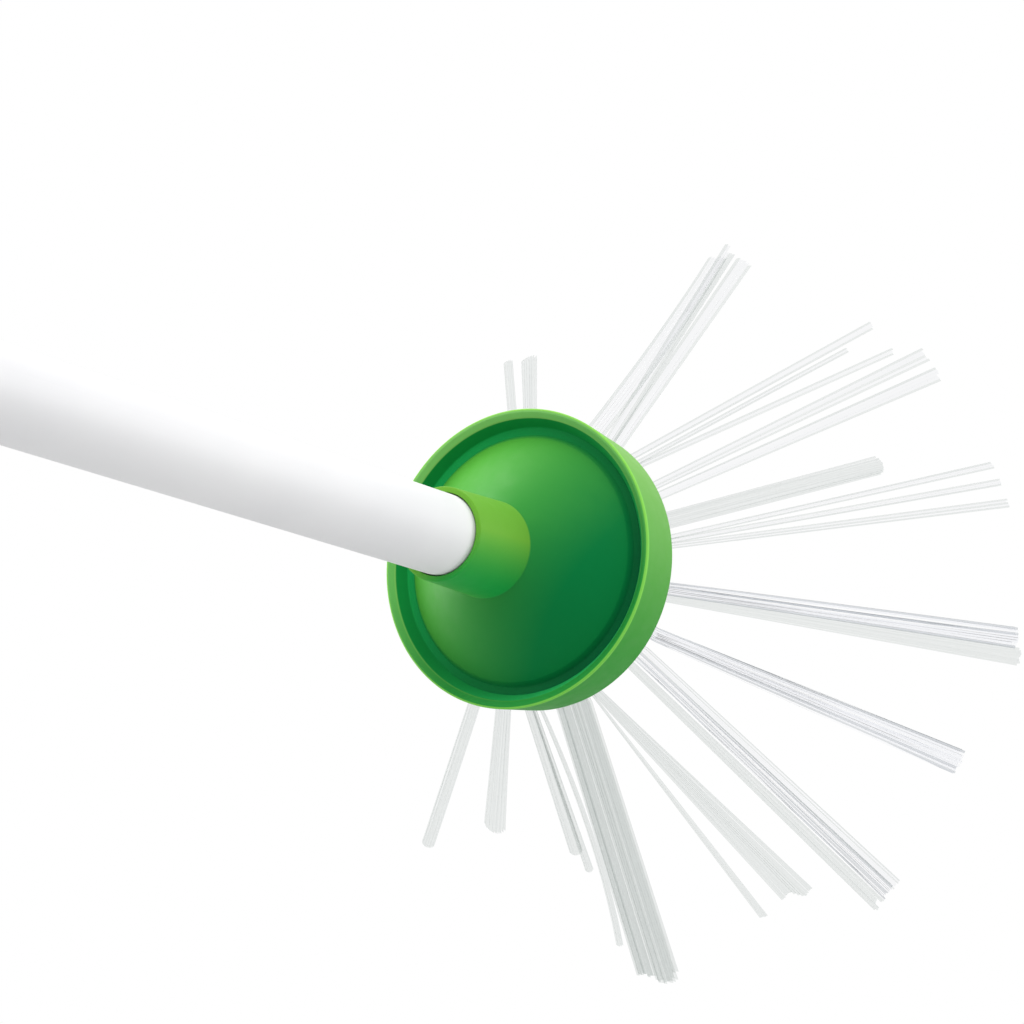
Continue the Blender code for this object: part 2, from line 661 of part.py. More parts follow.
def spring_points():
    """The middle of the spring's wire: a coil with a short straight piece at each end."""
    count = SPRING_TURNS * SPRING_POINTS_PER_TURN
    length = SPRING_LENGTH - 2 * SPRING_WIRE_RADIUS
    straight = 2 * SPRING_WIRE_RADIUS
    rear = SPRING_REAR_X + SPRING_WIRE_RADIUS
    points = [(rear, SPRING_RADIUS, -straight)]
    for i in range(count + 1):
        turn = math.radians(360) * i / SPRING_POINTS_PER_TURN
        points.append((
            rear + length * i / count,
            SPRING_RADIUS * math.cos(turn),
            SPRING_RADIUS * math.sin(turn),
        ))
    return points + [(rear + length, SPRING_RADIUS, straight)]


def print_least_gap(points):
    """Prints the least gap between turns of the spring's wire, measured on its points."""
    least = min(
        math.dist(a, b)
        for i, a in enumerate(points)
        for b in points[i + SPRING_POINTS_PER_TURN // 2:]
    )
    print(f"return_spring: least gap to itself {(least - 2 * SPRING_WIRE_RADIUS) * 1000:.2f} mm")


def return_spring():
    points = spring_points()
    print_least_gap(points)
    curve = bpy.data.curves.new("return_spring", "CURVE")
    curve.dimensions = "3D"
    curve.bevel_depth = SPRING_WIRE_RADIUS
    curve.bevel_resolution = 1
    curve.use_fill_caps = True
    spline = curve.splines.new("POLY")
    spline.points.add(len(points) - 1)
    for point, place_of in zip(spline.points, points):
        point.co = (*place_of, 1)
    return curve_solid("return_spring", curve, Matrix.Identity(4))


def pin(name, radius, half_length, x, z):
    return solid(name, cylinder, radius, -half_length, half_length, PIN_STEPS,
                 Matrix.Translation((x, 0, z)))


def holder_mesh():
    """One tuft holder: hinge at the origin, tuft along X, hinge axis along Y."""
    tail = Matrix.Rotation(TAIL_TURN, 4, "Y")

    def hub(bm):
        cylinder(bm, HUB_RADIUS, -HUB_WIDTH / 2, HUB_WIDTH / 2, SCREW_STEPS, Matrix.Identity(4))

    def stubs(bm):
        cylinder(bm, STUB_RADIUS, -STUB_SPAN / 2, STUB_SPAN / 2, SCREW_STEPS, Matrix.Identity(4))

    def tail_arm(bm):
        box(bm, (0, -TAIL_WIDTH / 2, -TAIL_THICKNESS / 2), (TAIL_LENGTH, TAIL_WIDTH / 2, TAIL_THICKNESS / 2),
            tail)

    def tail_end(bm):
        cylinder(bm, TAIL_END_RADIUS, -TAIL_WIDTH / 2, TAIL_WIDTH / 2, SCREW_STEPS,
                 tail @ Matrix.Translation((TAIL_LENGTH, 0, 0)))

    def neck(bm):
        box(bm, (0, -HUB_WIDTH / 2, -NECK_THICKNESS / 2),
            (SOCKET_START + SOCKET_FLOOR / 2, HUB_WIDTH / 2, NECK_THICKNESS / 2))

    def cup(bm):
        box(bm, (SOCKET_START, -SOCKET_WIDTH / 2, -SOCKET_THICKNESS / 2),
            (SOCKET_START + SOCKET_LENGTH, SOCKET_WIDTH / 2, SOCKET_THICKNESS / 2))

    def socket(bm):
        box(bm, (SOCKET_START + SOCKET_FLOOR, -SOCKET_WIDTH / 2 + SOCKET_WALL, -SOCKET_THICKNESS / 2 + SOCKET_WALL),
            (SOCKET_START + SOCKET_LENGTH + CUT_OVERRUN, SOCKET_WIDTH / 2 - SOCKET_WALL,
             SOCKET_THICKNESS / 2 - SOCKET_WALL))

    obj = solid("holder_pattern", hub)
    for name, add in (("stubs", stubs), ("tail_arm", tail_arm), ("tail_end", tail_end),
                      ("neck", neck), ("cup", cup)):
        boolean(obj, as_cutter(solid("holder_" + name, add)), "UNION")
    boolean(obj, as_cutter(solid("holder_socket", socket)))
    mesh = baked_mesh(obj)
    bpy.data.objects.remove(obj)
    return mesh


def column_tips(index):
    """For each column of strands its tip's place across, out of the ring and along, and its width."""
    tips = []
    for across, out, along, width, columns in TUFT_BLADE_SHARES[index % len(TUFT_BLADE_SHARES)]:
        pitch = width / columns
        for column in range(columns):
            middle = across + pitch * (column + 1 / 2) - width / 2
            shares = (middle, out, along, pitch * STRAND_WIDTH_SHARE)
            tips.append([TUFT_LENGTH * share for share in shares])
    return tips


def tuft_mesh(index):
    """A flat tuft of four-sided strands that grow out of one plug."""
    rng = random.Random(index)
    plug_start = SOCKET_START + SOCKET_FLOOR + SEAT_GAP
    plug_end = SOCKET_START + SOCKET_LENGTH + PLUG_STAND_OUT
    width = SOCKET_WIDTH - 2 * (SOCKET_WALL + PLUG_GAP)
    thickness = SOCKET_THICKNESS - 2 * (SOCKET_WALL + PLUG_GAP)
    bm = bmesh.new()
    grid = [
        [
            bm.verts.new((
                plug_end,
                width * (column / STRAND_COLUMNS - 0.5),
                thickness * (row / STRAND_ROWS - 0.5),
            ))
            for row in range(STRAND_ROWS + 1)
        ]
        for column in range(STRAND_COLUMNS + 1)
    ]
    cells = [
        (column, row, bm.faces.new((
            grid[column][row], grid[column + 1][row], grid[column + 1][row + 1], grid[column][row + 1],
        )))
        for column in range(STRAND_COLUMNS)
        for row in range(STRAND_ROWS)
    ]
    rim = [edge for edge in bm.edges if edge.is_boundary]
    walls = bmesh.ops.extrude_edge_only(bm, edges=rim)["geom"]
    for vert in (item for item in walls if isinstance(item, bmesh.types.BMVert)):
        vert.co.x = plug_start
    bmesh.ops.holes_fill(bm, edges=[edge for edge in bm.edges if edge.is_boundary])
    bmesh.ops.recalc_face_normals(bm, faces=bm.faces)
    faces = [face for _, _, face in cells]
    bmesh.ops.inset_individual(bm, faces=faces, thickness=STRAND_SPACE, use_even_offset=True)
    tips = bmesh.ops.extrude_discrete_faces(bm, faces=faces)["faces"]
    columns = column_tips(index)
    for (column, row, _), tip in zip(cells, tips):
        across, out, along, strand_width = columns[column]
        across += TIP_STAGGER if row % 2 else -TIP_STAGGER
        out += TIP_DEPTH * (row / (STRAND_ROWS - 1) - 1 / 2)
        along *= STRAND_SHORTEST_SHARE + (1 - STRAND_SHORTEST_SHARE) * rng.random()
        middle = tip.calc_center_median()
        for vert in tip.verts:
            side = 1 if vert.co.y > middle.y else -1
            face = 1 if vert.co.z > middle.z else -1
            vert.co = (along, across + side * strand_width / 2, out + face * TIP_STRAND_THICKNESS / 2)
    return mesh_from(bm, "tuft")


def tuft_frame(index):
    """The matrix from a tuft's own frame to the open tuft's place in the ring."""
    return (
        cell_matrix(tuft_angle(index))
        @ Matrix.Translation((PIVOT_HINGE_X, 0, HINGE_RADIUS))
        @ Matrix.Rotation(-OPEN_SPLAY, 4, "Y")
    )


def screw_mesh(name, radius, head_radius, head_length, length):
    """A screw along X, with the underside of its head at the origin and its shank towards -X."""
    obj = turned(name, [
        (head_length, 0),
        (head_length, head_radius * 3 / 4),
        (0, head_radius),
        (0, radius),
        (-length, radius),
        (-length, 0),
    ], SCREW_STEPS, hollow=False)
    reach = head_radius * 3 / 5
    slot = head_radius / 6

    def recess(bm):
        box(bm, (head_length / 2, -reach, -slot), (head_length + CUT_OVERRUN, reach, slot))

    boolean(obj, as_cutter(solid(name + "_slot", recess)))
    obj.matrix_world = Matrix.Rotation(math.radians(90), 4, "Y")
    mesh = baked_mesh(obj)
    mesh.transform(obj.matrix_world)
    bpy.data.objects.remove(obj)
    return mesh


def ring_of_screws(name, mesh, angles, ring, x, finish):
    for number, angle in enumerate(angles, 1):
        matrix = Matrix.Translation((x, 0, 0)) @ cell_matrix(angle) @ Matrix.Translation((0, 0, ring))
        settle(place(f"{name}_{number}", mesh.copy(), matrix), finish)


def head_screws():
    cover = screw_mesh("cover_screw", COVER_SCREW_RADIUS, COVER_SCREW_HEAD_RADIUS,
                       COVER_SCREW_HEAD_RADIUS, COVER_SCREW_LENGTH)
    ring_of_screws("cover_screw", cover, cover_screw_angles(), COVER_SCREW_RING,
                   COVER_REAR_X + COVER_THICKNESS + SEAT_GAP, STEEL)
    ring = screw_mesh("ring_screw", RING_SCREW_RADIUS, RING_SCREW_HEAD_RADIUS,
                      RING_SCREW_HEAD_RADIUS * 2 / 3, RING_SCREW_LENGTH)
    ring_of_screws("ring_screw", ring, ring_screw_angles(), RING_SCREW_RING,
                   RING_SCREW_SEAT_X, STEEL)


def trigger():
    pivot = Matrix.Translation((PIVOT_X, 0, -PIVOT_DROP))
    arm = pivot @ Matrix.Rotation(TRIGGER_SWING / 2, 4, "Y")
    blade_outline = [
        (PIVOT_X + BLADE_DEPTH * forward, -PIVOT_DROP - BLADE_LENGTH * down)
        for forward, down in BLADE_OUTLINE_SHARES
    ]
    pin_slot = CROSS_PIN_RADIUS + SEAT_GAP

    def hub(bm):
        cylinder(bm, TRIGGER_HUB_RADIUS, -TRIGGER_HUB_HALF_WIDTH, TRIGGER_HUB_HALF_WIDTH, PIN_STEPS, pivot)

    def upper_arm(bm):
        box(bm, (-ARM_WIDTH / 2, -TRIGGER_HALF_WIDTH, 0), (ARM_WIDTH / 2, TRIGGER_HALF_WIDTH, ARM_LENGTH), arm)

    def fork(bm):
        box(bm, (-ARM_WIDTH, -FORK_HALF_GAP, FORK_ROOT), (ARM_WIDTH, FORK_HALF_GAP, ARM_LENGTH + CUT_OVERRUN), arm)

    def slot(bm):
        box(bm, (-pin_slot, -TRIGGER_HALF_WIDTH - CUT_OVERRUN, SLOT_ROOT),
            (pin_slot, TRIGGER_HALF_WIDTH + CUT_OVERRUN, ARM_LENGTH + CUT_OVERRUN), arm)

    def bore(bm):
        reach = BLADE_HALF_WIDTH + CUT_OVERRUN
        cylinder(bm, PIVOT_PIN_RADIUS + SEAT_GAP, -reach, reach, PIN_STEPS, pivot)

    obj = plate("trigger", smooth_outline(blade_outline, 2), BLADE_HALF_WIDTH, BLADE_ROUNDING, 2)
    boolean(obj, as_cutter(solid("trigger_hub", hub)), "UNION")
    boolean(obj, as_cutter(solid("trigger_arm", upper_arm)), "UNION")
    boolean(obj, as_cutter(solid("trigger_fork", fork)))
    boolean(obj, as_cutter(solid("trigger_slot", slot)))
    return boolean(obj, as_cutter(solid("trigger_bore", bore)))


def handle_outline():
    """The side view of the handle as a smooth closed curve of (x, z) points."""
    points = [(BARREL_FRONT * along, BARREL_TOP * up) for along, up in BARREL_TOP_SHARES]
    points += [(-GRIP_FRONT - GRIP_DEPTH * back, BARREL_TOP * up) for back, up in GRIP_TOP_SHARES]
    points += [grip_point(back, down) for back, down in GRIP_SHARES]
    points += [(BARREL_FRONT * along, -BARREL_DEPTH * down) for along, down in BARREL_UNDER_SHARES]
    return smooth_outline(points, 2)


def grip_point(back, down):
    return -GRIP_FRONT - GRIP_DEPTH * back, -GRIP_DROP * down


def screw_places():
    """The handle screws in X and Z: two close round the return spring and two in the grip."""
    spring_x = GUIDE_REAR_X - BOSS_RADIUS - BOSS_CLEARANCE
    spring_z = SPRING_COLLAR_RADIUS + BOSS_RADIUS + BOSS_CLEARANCE
    grip = [grip_point(back, down) for back, down in GRIP_SCREW_SHARES]
    return [(spring_x, spring_z), (spring_x, -spring_z)] + grip


def inset_outline(outline, distance):
    """The outline moved inwards by this distance."""
    inner = []
    count = len(outline)
    turn = sum(
        outline[i - 1][0] * outline[i][1] - outline[i][0] * outline[i - 1][1] for i in range(count)
    )
    sign = 1 if turn > 0 else -1
    for i in range(count):
        (ax, az), (bx, bz) = outline[i - 1], outline[(i + 1) % count]
        length = math.hypot(bx - ax, bz - az)
        inner.append((
            outline[i][0] - sign * distance * (bz - az) / length,
            outline[i][1] + sign * distance * (bx - ax) / length,
        ))
    return inner


def handle_cutters():
    """The hollows of both shells, and the bosses that stand in them, as shared tools."""
    outline = handle_outline()
    screws = screw_places()
    eye_x, eye_z = -GRIP_FRONT - GRIP_DEPTH * EYE_SHARE[0], BARREL_TOP * EYE_SHARE[1]
    inner_half = HANDLE_HALF_WIDTH - HANDLE_WALL
    boss_end = inner_half + HANDLE_WALL / 2
    eye = Matrix.Translation((eye_x, 0, eye_z))
    reach = HANDLE_HALF_WIDTH + CUT_OVERRUN
    chamber_front = TUBE_REAR_X + SEAT_GAP

    def keep_socket(bm):
        box(bm, (chamber_front, -reach, -GRIP_DROP), (NOSE_X, reach, GRIP_DROP))

    def bosses(bm):
        for x, z in screws:
            cylinder(bm, BOSS_RADIUS, -boss_end, boss_end, SCREW_STEPS, Matrix.Translation((x, 0, z)))
        cylinder(bm, EYE_RADIUS + EYE_WALL, -boss_end, boss_end, PIN_STEPS, eye)

    def pivot_bosses(bm):
        start = BLADE_HALF_WIDTH + SEAT_GAP
        pivot = Matrix.Translation((PIVOT_X, 0, -PIVOT_DROP))
        cylinder(bm, PIVOT_BOSS_RADIUS, start, boss_end, PIN_STEPS, pivot)
        cylinder(bm, PIVOT_BOSS_RADIUS, -boss_end, -start, PIN_STEPS, pivot)

    def bores(bm):
        half = PIVOT_PIN_LENGTH / 2 + SEAT_GAP
        cylinder(bm, PIVOT_PIN_RADIUS + SEAT_GAP, -half, half, PIN_STEPS,
                 Matrix.Translation((PIVOT_X, 0, -PIVOT_DROP)))
        cylinder(bm, EYE_RADIUS, -reach, reach, PIN_STEPS, eye)
        for x, z in screws:
            spot = Matrix.Translation((x, 0, z))
            cylinder(bm, HANDLE_SCREW_RADIUS + SEAT_GAP, -reach, HANDLE_SCREW_REACH + SEAT_GAP, SCREW_STEPS, spot)

    def head_seats(bm):
        seat = HANDLE_HALF_WIDTH - HANDLE_SCREW_HEAD_LENGTH - SEAT_GAP
        for x, z in screws:
            cylinder(bm, HANDLE_SCREW_HEAD_RADIUS + SEAT_GAP, -reach, -seat, SCREW_STEPS,
                     Matrix.Translation((x, 0, z)))

    def tube_screw_bore(bm):
        spot = Matrix.Translation((TUBE_SCREW_X, 0, 0))
        cylinder(bm, HANDLE_SCREW_RADIUS + SEAT_GAP, -reach, -TUBE_RADIUS + CUT_OVERRUN, SCREW_STEPS, spot)

    def tube_screw_seat(bm):
        spot = Matrix.Translation((TUBE_SCREW_X, 0, 0))
        seat = NOSE_RADIUS - HANDLE_SCREW_HEAD_LENGTH - SEAT_GAP
        cylinder(bm, HANDLE_SCREW_HEAD_RADIUS + SEAT_GAP, -reach, -seat, SCREW_STEPS, spot)

    def door(bm):
        front = PIVOT_X + TRIGGER_DOOR_FRONT
        half = BLADE_HALF_WIDTH + 2 * SEAT_GAP
        box(bm, (front - TRIGGER_DOOR_LENGTH, -half, -PIVOT_DROP - TRIGGER_DOOR_DEPTH),
            (front, half, -PIVOT_DROP))

    hollow = plate("handle_hollow", inset_outline(outline, HANDLE_WALL), inner_half, 0, 1)
    boolean(hollow, as_cutter(solid("handle_socket_block", keep_socket)))
    nose = turned("handle_nose", [
        (NOSE_X, 0),
        (NOSE_X, NOSE_RADIUS - NOSE_EDGE),
        (NOSE_X - NOSE_EDGE, NOSE_RADIUS),
        (NOSE_X - NOSE_OVERLAP, NOSE_RADIUS),
        (NOSE_X - NOSE_OVERLAP, 0),
    ], TUBE_STEPS, hollow=False)
    socket = turned("tube_socket", [
        (NOSE_X + CUT_OVERRUN, 0),
        (NOSE_X + CUT_OVERRUN, COLLAR_BORE_RADIUS),
        (chamber_front - CUT_OVERRUN, COLLAR_BORE_RADIUS),
        (chamber_front - CUT_OVERRUN, 0),
    ], TUBE_STEPS, hollow=False)
    return outline, [
        (as_cutter(nose), "UNION"),
        (as_cutter(hollow), "DIFFERENCE"),
        (as_cutter(solid("handle_bosses", bosses)), "UNION"),
        (as_cutter(solid("pivot_bosses", pivot_bosses)), "UNION"),
        (as_cutter(socket), "DIFFERENCE"),
        (as_cutter(solid("handle_bores", bores)), "DIFFERENCE"),
        (as_cutter(solid("head_seats", head_seats)), "DIFFERENCE"),
        (as_cutter(solid("tube_screw_bore", tube_screw_bore)), "DIFFERENCE"),
        (as_cutter(solid("tube_screw_seat", tube_screw_seat)), "DIFFERENCE"),
        (as_cutter(solid("trigger_door", door)), "DIFFERENCE"),
    ]


def handle_shell(name, side, outline, steps):
    """One half of the handle: side is 1 for the left shell and -1 for the right."""
    reach = HANDLE_HALF_WIDTH + CUT_OVERRUN
    far = BARREL_FRONT + NOSE_LENGTH + GRIP_DEPTH + GRIP_DROP

    def other_half(bm):
        low, high = sorted((side * SEAT_GAP / 2, -side * reach))
        box(bm, (-far, low, -far), (far, high, far))

    obj = plate(name, outline, HANDLE_HALF_WIDTH, HANDLE_ROUNDING, 3)
    for tool, operation in steps:
        boolean(obj, tool, operation)
    return boolean(obj, as_cutter(solid(name + "_split", other_half)))


def handle_screws():
    length = HANDLE_HALF_WIDTH - HANDLE_SCREW_HEAD_LENGTH + HANDLE_SCREW_REACH - SEAT_GAP
    mesh = screw_mesh("handle_screw", HANDLE_SCREW_RADIUS, HANDLE_SCREW_HEAD_RADIUS,
                      HANDLE_SCREW_HEAD_LENGTH, length)
    turn = Matrix.Rotation(math.radians(-90), 4, "Z")
    head_y = -(HANDLE_HALF_WIDTH - HANDLE_SCREW_HEAD_LENGTH)
    for number, (x, z) in enumerate(screw_places(), 1):
        settle(place(f"handle_screw_{number}", mesh.copy(), Matrix.Translation((x, head_y, z)) @ turn), STEEL)
    short = screw_mesh("tube_screw", HANDLE_SCREW_RADIUS, HANDLE_SCREW_HEAD_RADIUS,
                       HANDLE_SCREW_HEAD_LENGTH, NOSE_RADIUS - HANDLE_SCREW_HEAD_LENGTH - TUBE_SCREW_REACH)
    spot = Matrix.Translation((TUBE_SCREW_X, HANDLE_SCREW_HEAD_LENGTH - NOSE_RADIUS, 0))
    settle(place("tube_screw", short, spot @ turn), STEEL)


def build():
    settle(head_cup(), GREEN_PLASTIC)
    settle(hinge_ring(), DARK_GREEN_PLASTIC)
    settle(front_cover(), GREEN_PLASTIC)
    settle(plunger(), GREY_PLASTIC)
    settle(push_rod(), STEEL)
    settle(tube(), WHITE_PLASTIC)
    settle(front_rod_guide(), GREY_PLASTIC)
    settle(rear_rod_guide(), GREY_PLASTIC)
    settle(spring_collar(), STEEL)
    settle(return_spring(), STEEL)
    settle(pin("cross_pin", CROSS_PIN_RADIUS, CROSS_PIN_LENGTH / 2, CROSS_PIN_X, 0), STEEL)
    settle(pin("trigger_pin", PIVOT_PIN_RADIUS, PIVOT_PIN_LENGTH / 2, PIVOT_X, -PIVOT_DROP), STEEL)
    head_screws()
    holder = holder_mesh()
    for index in range(TUFT_COUNT):
        number = f"{index + 1:02d}"
        settle(place("holder_" + number, holder.copy(), tuft_frame(index)), DARK_GREEN_PLASTIC)
        settle(place("tuft_" + number, tuft_mesh(index), tuft_frame(index)), CLEAR_BRISTLE)
    settle(trigger(), WHITE_PLASTIC)
    outline, steps = handle_cutters()
    settle(handle_shell("left_handle", 1, outline, steps), GREEN_PLASTIC)
    settle(handle_shell("right_handle", -1, outline, steps), GREEN_PLASTIC)
    handle_screws()


clear_scene()
PARTS = new_collection("spider_catcher")
CUTTERS = new_collection("cutters", hidden=True)
build()
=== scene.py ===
"""Looks of the spider catcher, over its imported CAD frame. Lengths are in metres unless a name says mm."""
from math import atan2, ceil, copysign, cos, hypot, pi, radians, sin, sqrt, tan, tau
import random
from collections import namedtuple

import bmesh
import bpy
from mathutils import Matrix, Vector


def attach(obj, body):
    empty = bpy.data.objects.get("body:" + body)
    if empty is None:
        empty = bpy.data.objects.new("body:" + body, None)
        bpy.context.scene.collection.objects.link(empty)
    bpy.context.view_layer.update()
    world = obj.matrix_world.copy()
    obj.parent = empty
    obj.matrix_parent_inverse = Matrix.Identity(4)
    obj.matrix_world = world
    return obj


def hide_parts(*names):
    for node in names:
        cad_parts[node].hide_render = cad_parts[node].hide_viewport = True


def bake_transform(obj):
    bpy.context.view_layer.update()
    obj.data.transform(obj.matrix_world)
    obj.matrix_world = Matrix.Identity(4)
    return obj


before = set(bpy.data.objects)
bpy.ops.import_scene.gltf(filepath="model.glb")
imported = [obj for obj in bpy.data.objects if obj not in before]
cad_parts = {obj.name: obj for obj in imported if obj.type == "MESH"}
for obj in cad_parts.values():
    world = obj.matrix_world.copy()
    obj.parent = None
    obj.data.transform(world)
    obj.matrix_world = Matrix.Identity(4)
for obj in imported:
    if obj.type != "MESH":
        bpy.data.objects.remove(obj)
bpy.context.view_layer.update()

ROOT = "handle_tube_and_head"
ROD_BODY = "rod_and_plunger"
MM = 0.001
TURN = radians(90)
GAP = 0.0003
OVERRUN = 0.002
SLIGHT_ROUNDING = 0.00025

# Head cup, along the tube's axis and out from it
RIM_X = 0.470
RIM_RADIUS = 0.040
RIM_EDGE = 0.001
RIM_FACE_WIDTH = 0.0024
RIM_FACE_SLOPE = 0.0011
BAND_LENGTH = 0.0167
BAND_TAPER = 0.0018
BAND_WALL = 0.0022
GROOVE_DEPTH = 0.0042
GROOVE_OUTER_RADIUS = 0.0356
GROOVE_INNER_RADIUS = 0.03367
CONE_EDGE_DEPTH = 0.0027
CONE_EDGE_RADIUS = 0.0326
CONE_BACK = 0.0132
CONE_INSIDE = (0.00303, 0.0295)
COLLAR_ROOT_RADIUS = 0.0129
COLLAR_MOUTH_RADIUS = 0.0123
COLLAR_LENGTH = 0.0237
TUBE_STOP_RADIUS = 0.008
TUBE_STOP_LENGTH = 0.0018
STOP_FRONT_RADIUS = 0.01237
LEDGE_DEPTH = 0.0066

# Tuft hinges and holders, a holder measured from its hinge along the tuft
TUFTS = 16
FIRST_ANGLE = 8.9
ANGLE_STEP = 360 / TUFTS
OPEN_SPLAY = radians(43.7)
HALF_SWING = radians(19)
HINGE_X = 0.490
HINGE_RADIUS = 0.018
HUB_RADIUS = 0.0024
HUB_HALF_WIDTH = 0.0019
STUB_RADIUS = 0.001
STUB_HALF_SPAN = 0.0031
TAIL_LENGTH = 0.0095
TAIL_HALF_WIDTH = 0.0011
TAIL_HALF_THICKNESS = 0.0009
TAIL_END_RADIUS = 0.0014
NECK_HALF_THICKNESS = 0.0017
CUP_START = 0.0072
CUP_END = 0.0132
CUP_HALF_WIDTH = 0.003
CUP_HALF_THICKNESS = 0.0024
CUP_WALL = 0.0007
CUP_FLOOR = 0.0012
NECK_END = 0.0078
UNION_STEP = 0.00001
HOLDER_ROUNDING = 0.00022

# Hinge ring and front cover
RING_BORE_RADIUS = 0.014
RING_HUB_RADIUS = 0.0226
RING_FRONT_X = HINGE_X + 0.0026
RING_REAR_X = RIM_X + LEDGE_DEPTH + GAP
RING_PLATE_LENGTH = 0.003
SLOT_WIDTH = 0.0044
SLOT_FLOOR_X = RIM_X + 0.0115
CHANNEL_OUTER_GAP = 0.0006
COVER_REAR_X = RING_FRONT_X + GAP
COVER_FRONT_X = COVER_REAR_X + 0.002
COVER_DISC_RADIUS = 0.0152
DOME_WALL = 0.0018
DOME_GAP = 0.0006
DOME_FOOT_RADIUS = 0.013
# The dome's outer curve: forward of its inner wall's front, or of the cover's face, and out
DOME_CROWN = ((0.0006, 0.0), (0.0005, 0.004), (0.0002, 0.0076), (-0.0003, 0.0102), (-0.0013, 0.0124))
DOME_FOOT = ((0.0008, 0.0140), (0.0002, 0.0146))

# Screws: shank radius, head radius, head length, shank length
COVER_SCREW = (0.0007, 0.00145, 0.00125, 0.009)
RING_SCREW = (0.0012, 0.0024, 0.0015, 0.0062)
HANDLE_SCREW = (0.0014, 0.0028, 0.0019, 0.0202)
TUBE_SCREW = (0.0014, 0.0028, 0.0019, 0.0048)
COVER_SCREW_RING = 0.021
COVER_SCREW_DEPTH = 0.007
PILOT_GAP = 0.00015
RING_SCREW_RING = 0.0313

# Tube, rod, plunger and return spring
TUBE_RADIUS = 0.0105
TUBE_BORE_RADIUS = 0.00925
TUBE_FRONT = 0.4571
TUBE_REAR = 0.0401
TUBE_HOLE_OUTSIDE = -0.0125
TUBE_HOLE_INSIDE = -0.0072
ROD_RADIUS = 0.0025
ROD_BORE = ROD_RADIUS + GAP
ROD_TAIL = 0.005
GUIDE_LENGTH = 0.015
GUIDE_FLANGE_LENGTH = 0.002
ROD_TRAVEL = 2 * TAIL_LENGTH * sin(HALF_SWING)
PLUNGER_X = HINGE_X + ROD_TRAVEL / 2
PLUNGER_GROOVE_HALF = 0.0016
FLANGE_RADIUS = 0.0102
FLANGE_THICKNESS = 0.0015
SPOOL_RADIUS = 0.0067
PLUNGER_HUB_RADIUS = 0.005
PLUNGER_HUB_LENGTH = 0.0095
SPRING_REAR = 0.0175
SPRING_FRONT = 0.0375
SPRING_RADIUS = 0.0046
SPRING_WIRE_RADIUS = 0.0006
SPRING_TURNS = 7
SPRING_STEPS_PER_TURN = 40
COLLAR_RADIUS = 0.0057
COLLAR_THICKNESS = 0.003

# Trigger
PIVOT_X = -0.004
HALF_SQUEEZE = radians(13)
PIVOT_DROP = ROD_TRAVEL / (2 * tan(HALF_SQUEEZE))
PIVOT = Matrix.Translation((PIVOT_X, 0, -PIVOT_DROP))
PIVOT_PIN_RADIUS = 0.002
PIVOT_PIN_HALF_LENGTH = 0.011
CROSS_PIN_X = PIVOT_X + ROD_TRAVEL / 2
CROSS_PIN_RADIUS = 0.00125
CROSS_PIN_HALF_LENGTH = 0.0064
TRIGGER_HUB_RADIUS = 0.0062
TRIGGER_HUB_HALF_WIDTH = 0.007
ARM_HALF_DEPTH = 0.0038
ARM_HALF_WIDTH = 0.0065
ARM_LENGTH = 0.0185
FORK_HALF_GAP = 0.0031
FORK_ROOT = 0.008
SLOT_ROOT = 0.0108
TRIGGER_BORE_REACH = 0.01
BLADE_DEPTH = 0.0195
BLADE_LENGTH = 0.075
BLADE_HALF_WIDTH = 0.008
BLADE_ROUNDING = 0.0025

# Handle: a barrel that holds the tube, a grip below it and a nose in front of it
BARREL_FRONT = 0.066
BARREL_TOP = 0.0195
BARREL_DEPTH = 0.0245
GRIP_FRONT = 0.015
GRIP_DEPTH = 0.047
GRIP_DROP = 0.122
HANDLE_HALF_WIDTH = 0.0145
HANDLE_WALL = 0.0025
HANDLE_ROUNDING = 0.007
CUT_REACH = 0.0165
TUBE_SEAT_RADIUS = TUBE_RADIUS + GAP
TUBE_SEAT_REAR = 0.0384
TUBE_WALL_FRONT = 0.0404
NOSE_RADIUS = 0.0143
NOSE_FRONT = 0.084
NOSE_REAR = 0.054
NOSE_ROUNDING = 0.0015
BOSS_RADIUS = 0.0038
PIVOT_BOSS_RADIUS = 0.005
PIVOT_BOSS_START = 0.0083
EYE_RADIUS = 0.0045
EYE_BOSS_RADIUS = 0.007
SCREW_SEAT_DEPTH = 0.0023
TUBE_SCREW_BORE_END = -0.0085
FAR = 0.3
DOOR_REAR = -0.0155
DOOR_FRONT = 0.0115
DOOR_HALF_WIDTH = 0.0086
DOOR_DEPTH = 0.024

# The photograph's camera
IMAGE = 1024
LENS = 122.478
SENSOR = 36.0
FOCAL_PIXELS = IMAGE * LENS / SENSOR
CAMERA_PLACE = Vector((-0.299475, -0.460003, -0.174828))
CAMERA_RIGHT = Vector((0.51365, -0.85800, 0.0))
CAMERA_UP = Vector((-0.17528, -0.10493, 0.97891))
CAMERA_BACK = Vector((-0.83991, -0.50282, -0.20428))


def turned(angle, axis):
    return Matrix.Rotation(angle, 4, axis)


def at(x, z, y=0):
    return Matrix.Translation((x, y, z))


def link(name, data, matrix=Matrix()):
    obj = bpy.data.objects.new(name, data)
    obj.matrix_world = matrix
    bpy.context.scene.collection.objects.link(obj)
    return obj


def mesh_of(bm, name):
    bmesh.ops.recalc_face_normals(bm, faces=bm.faces)
    mesh = bpy.data.meshes.new(name)
    bm.to_mesh(mesh)
    bm.free()
    return mesh


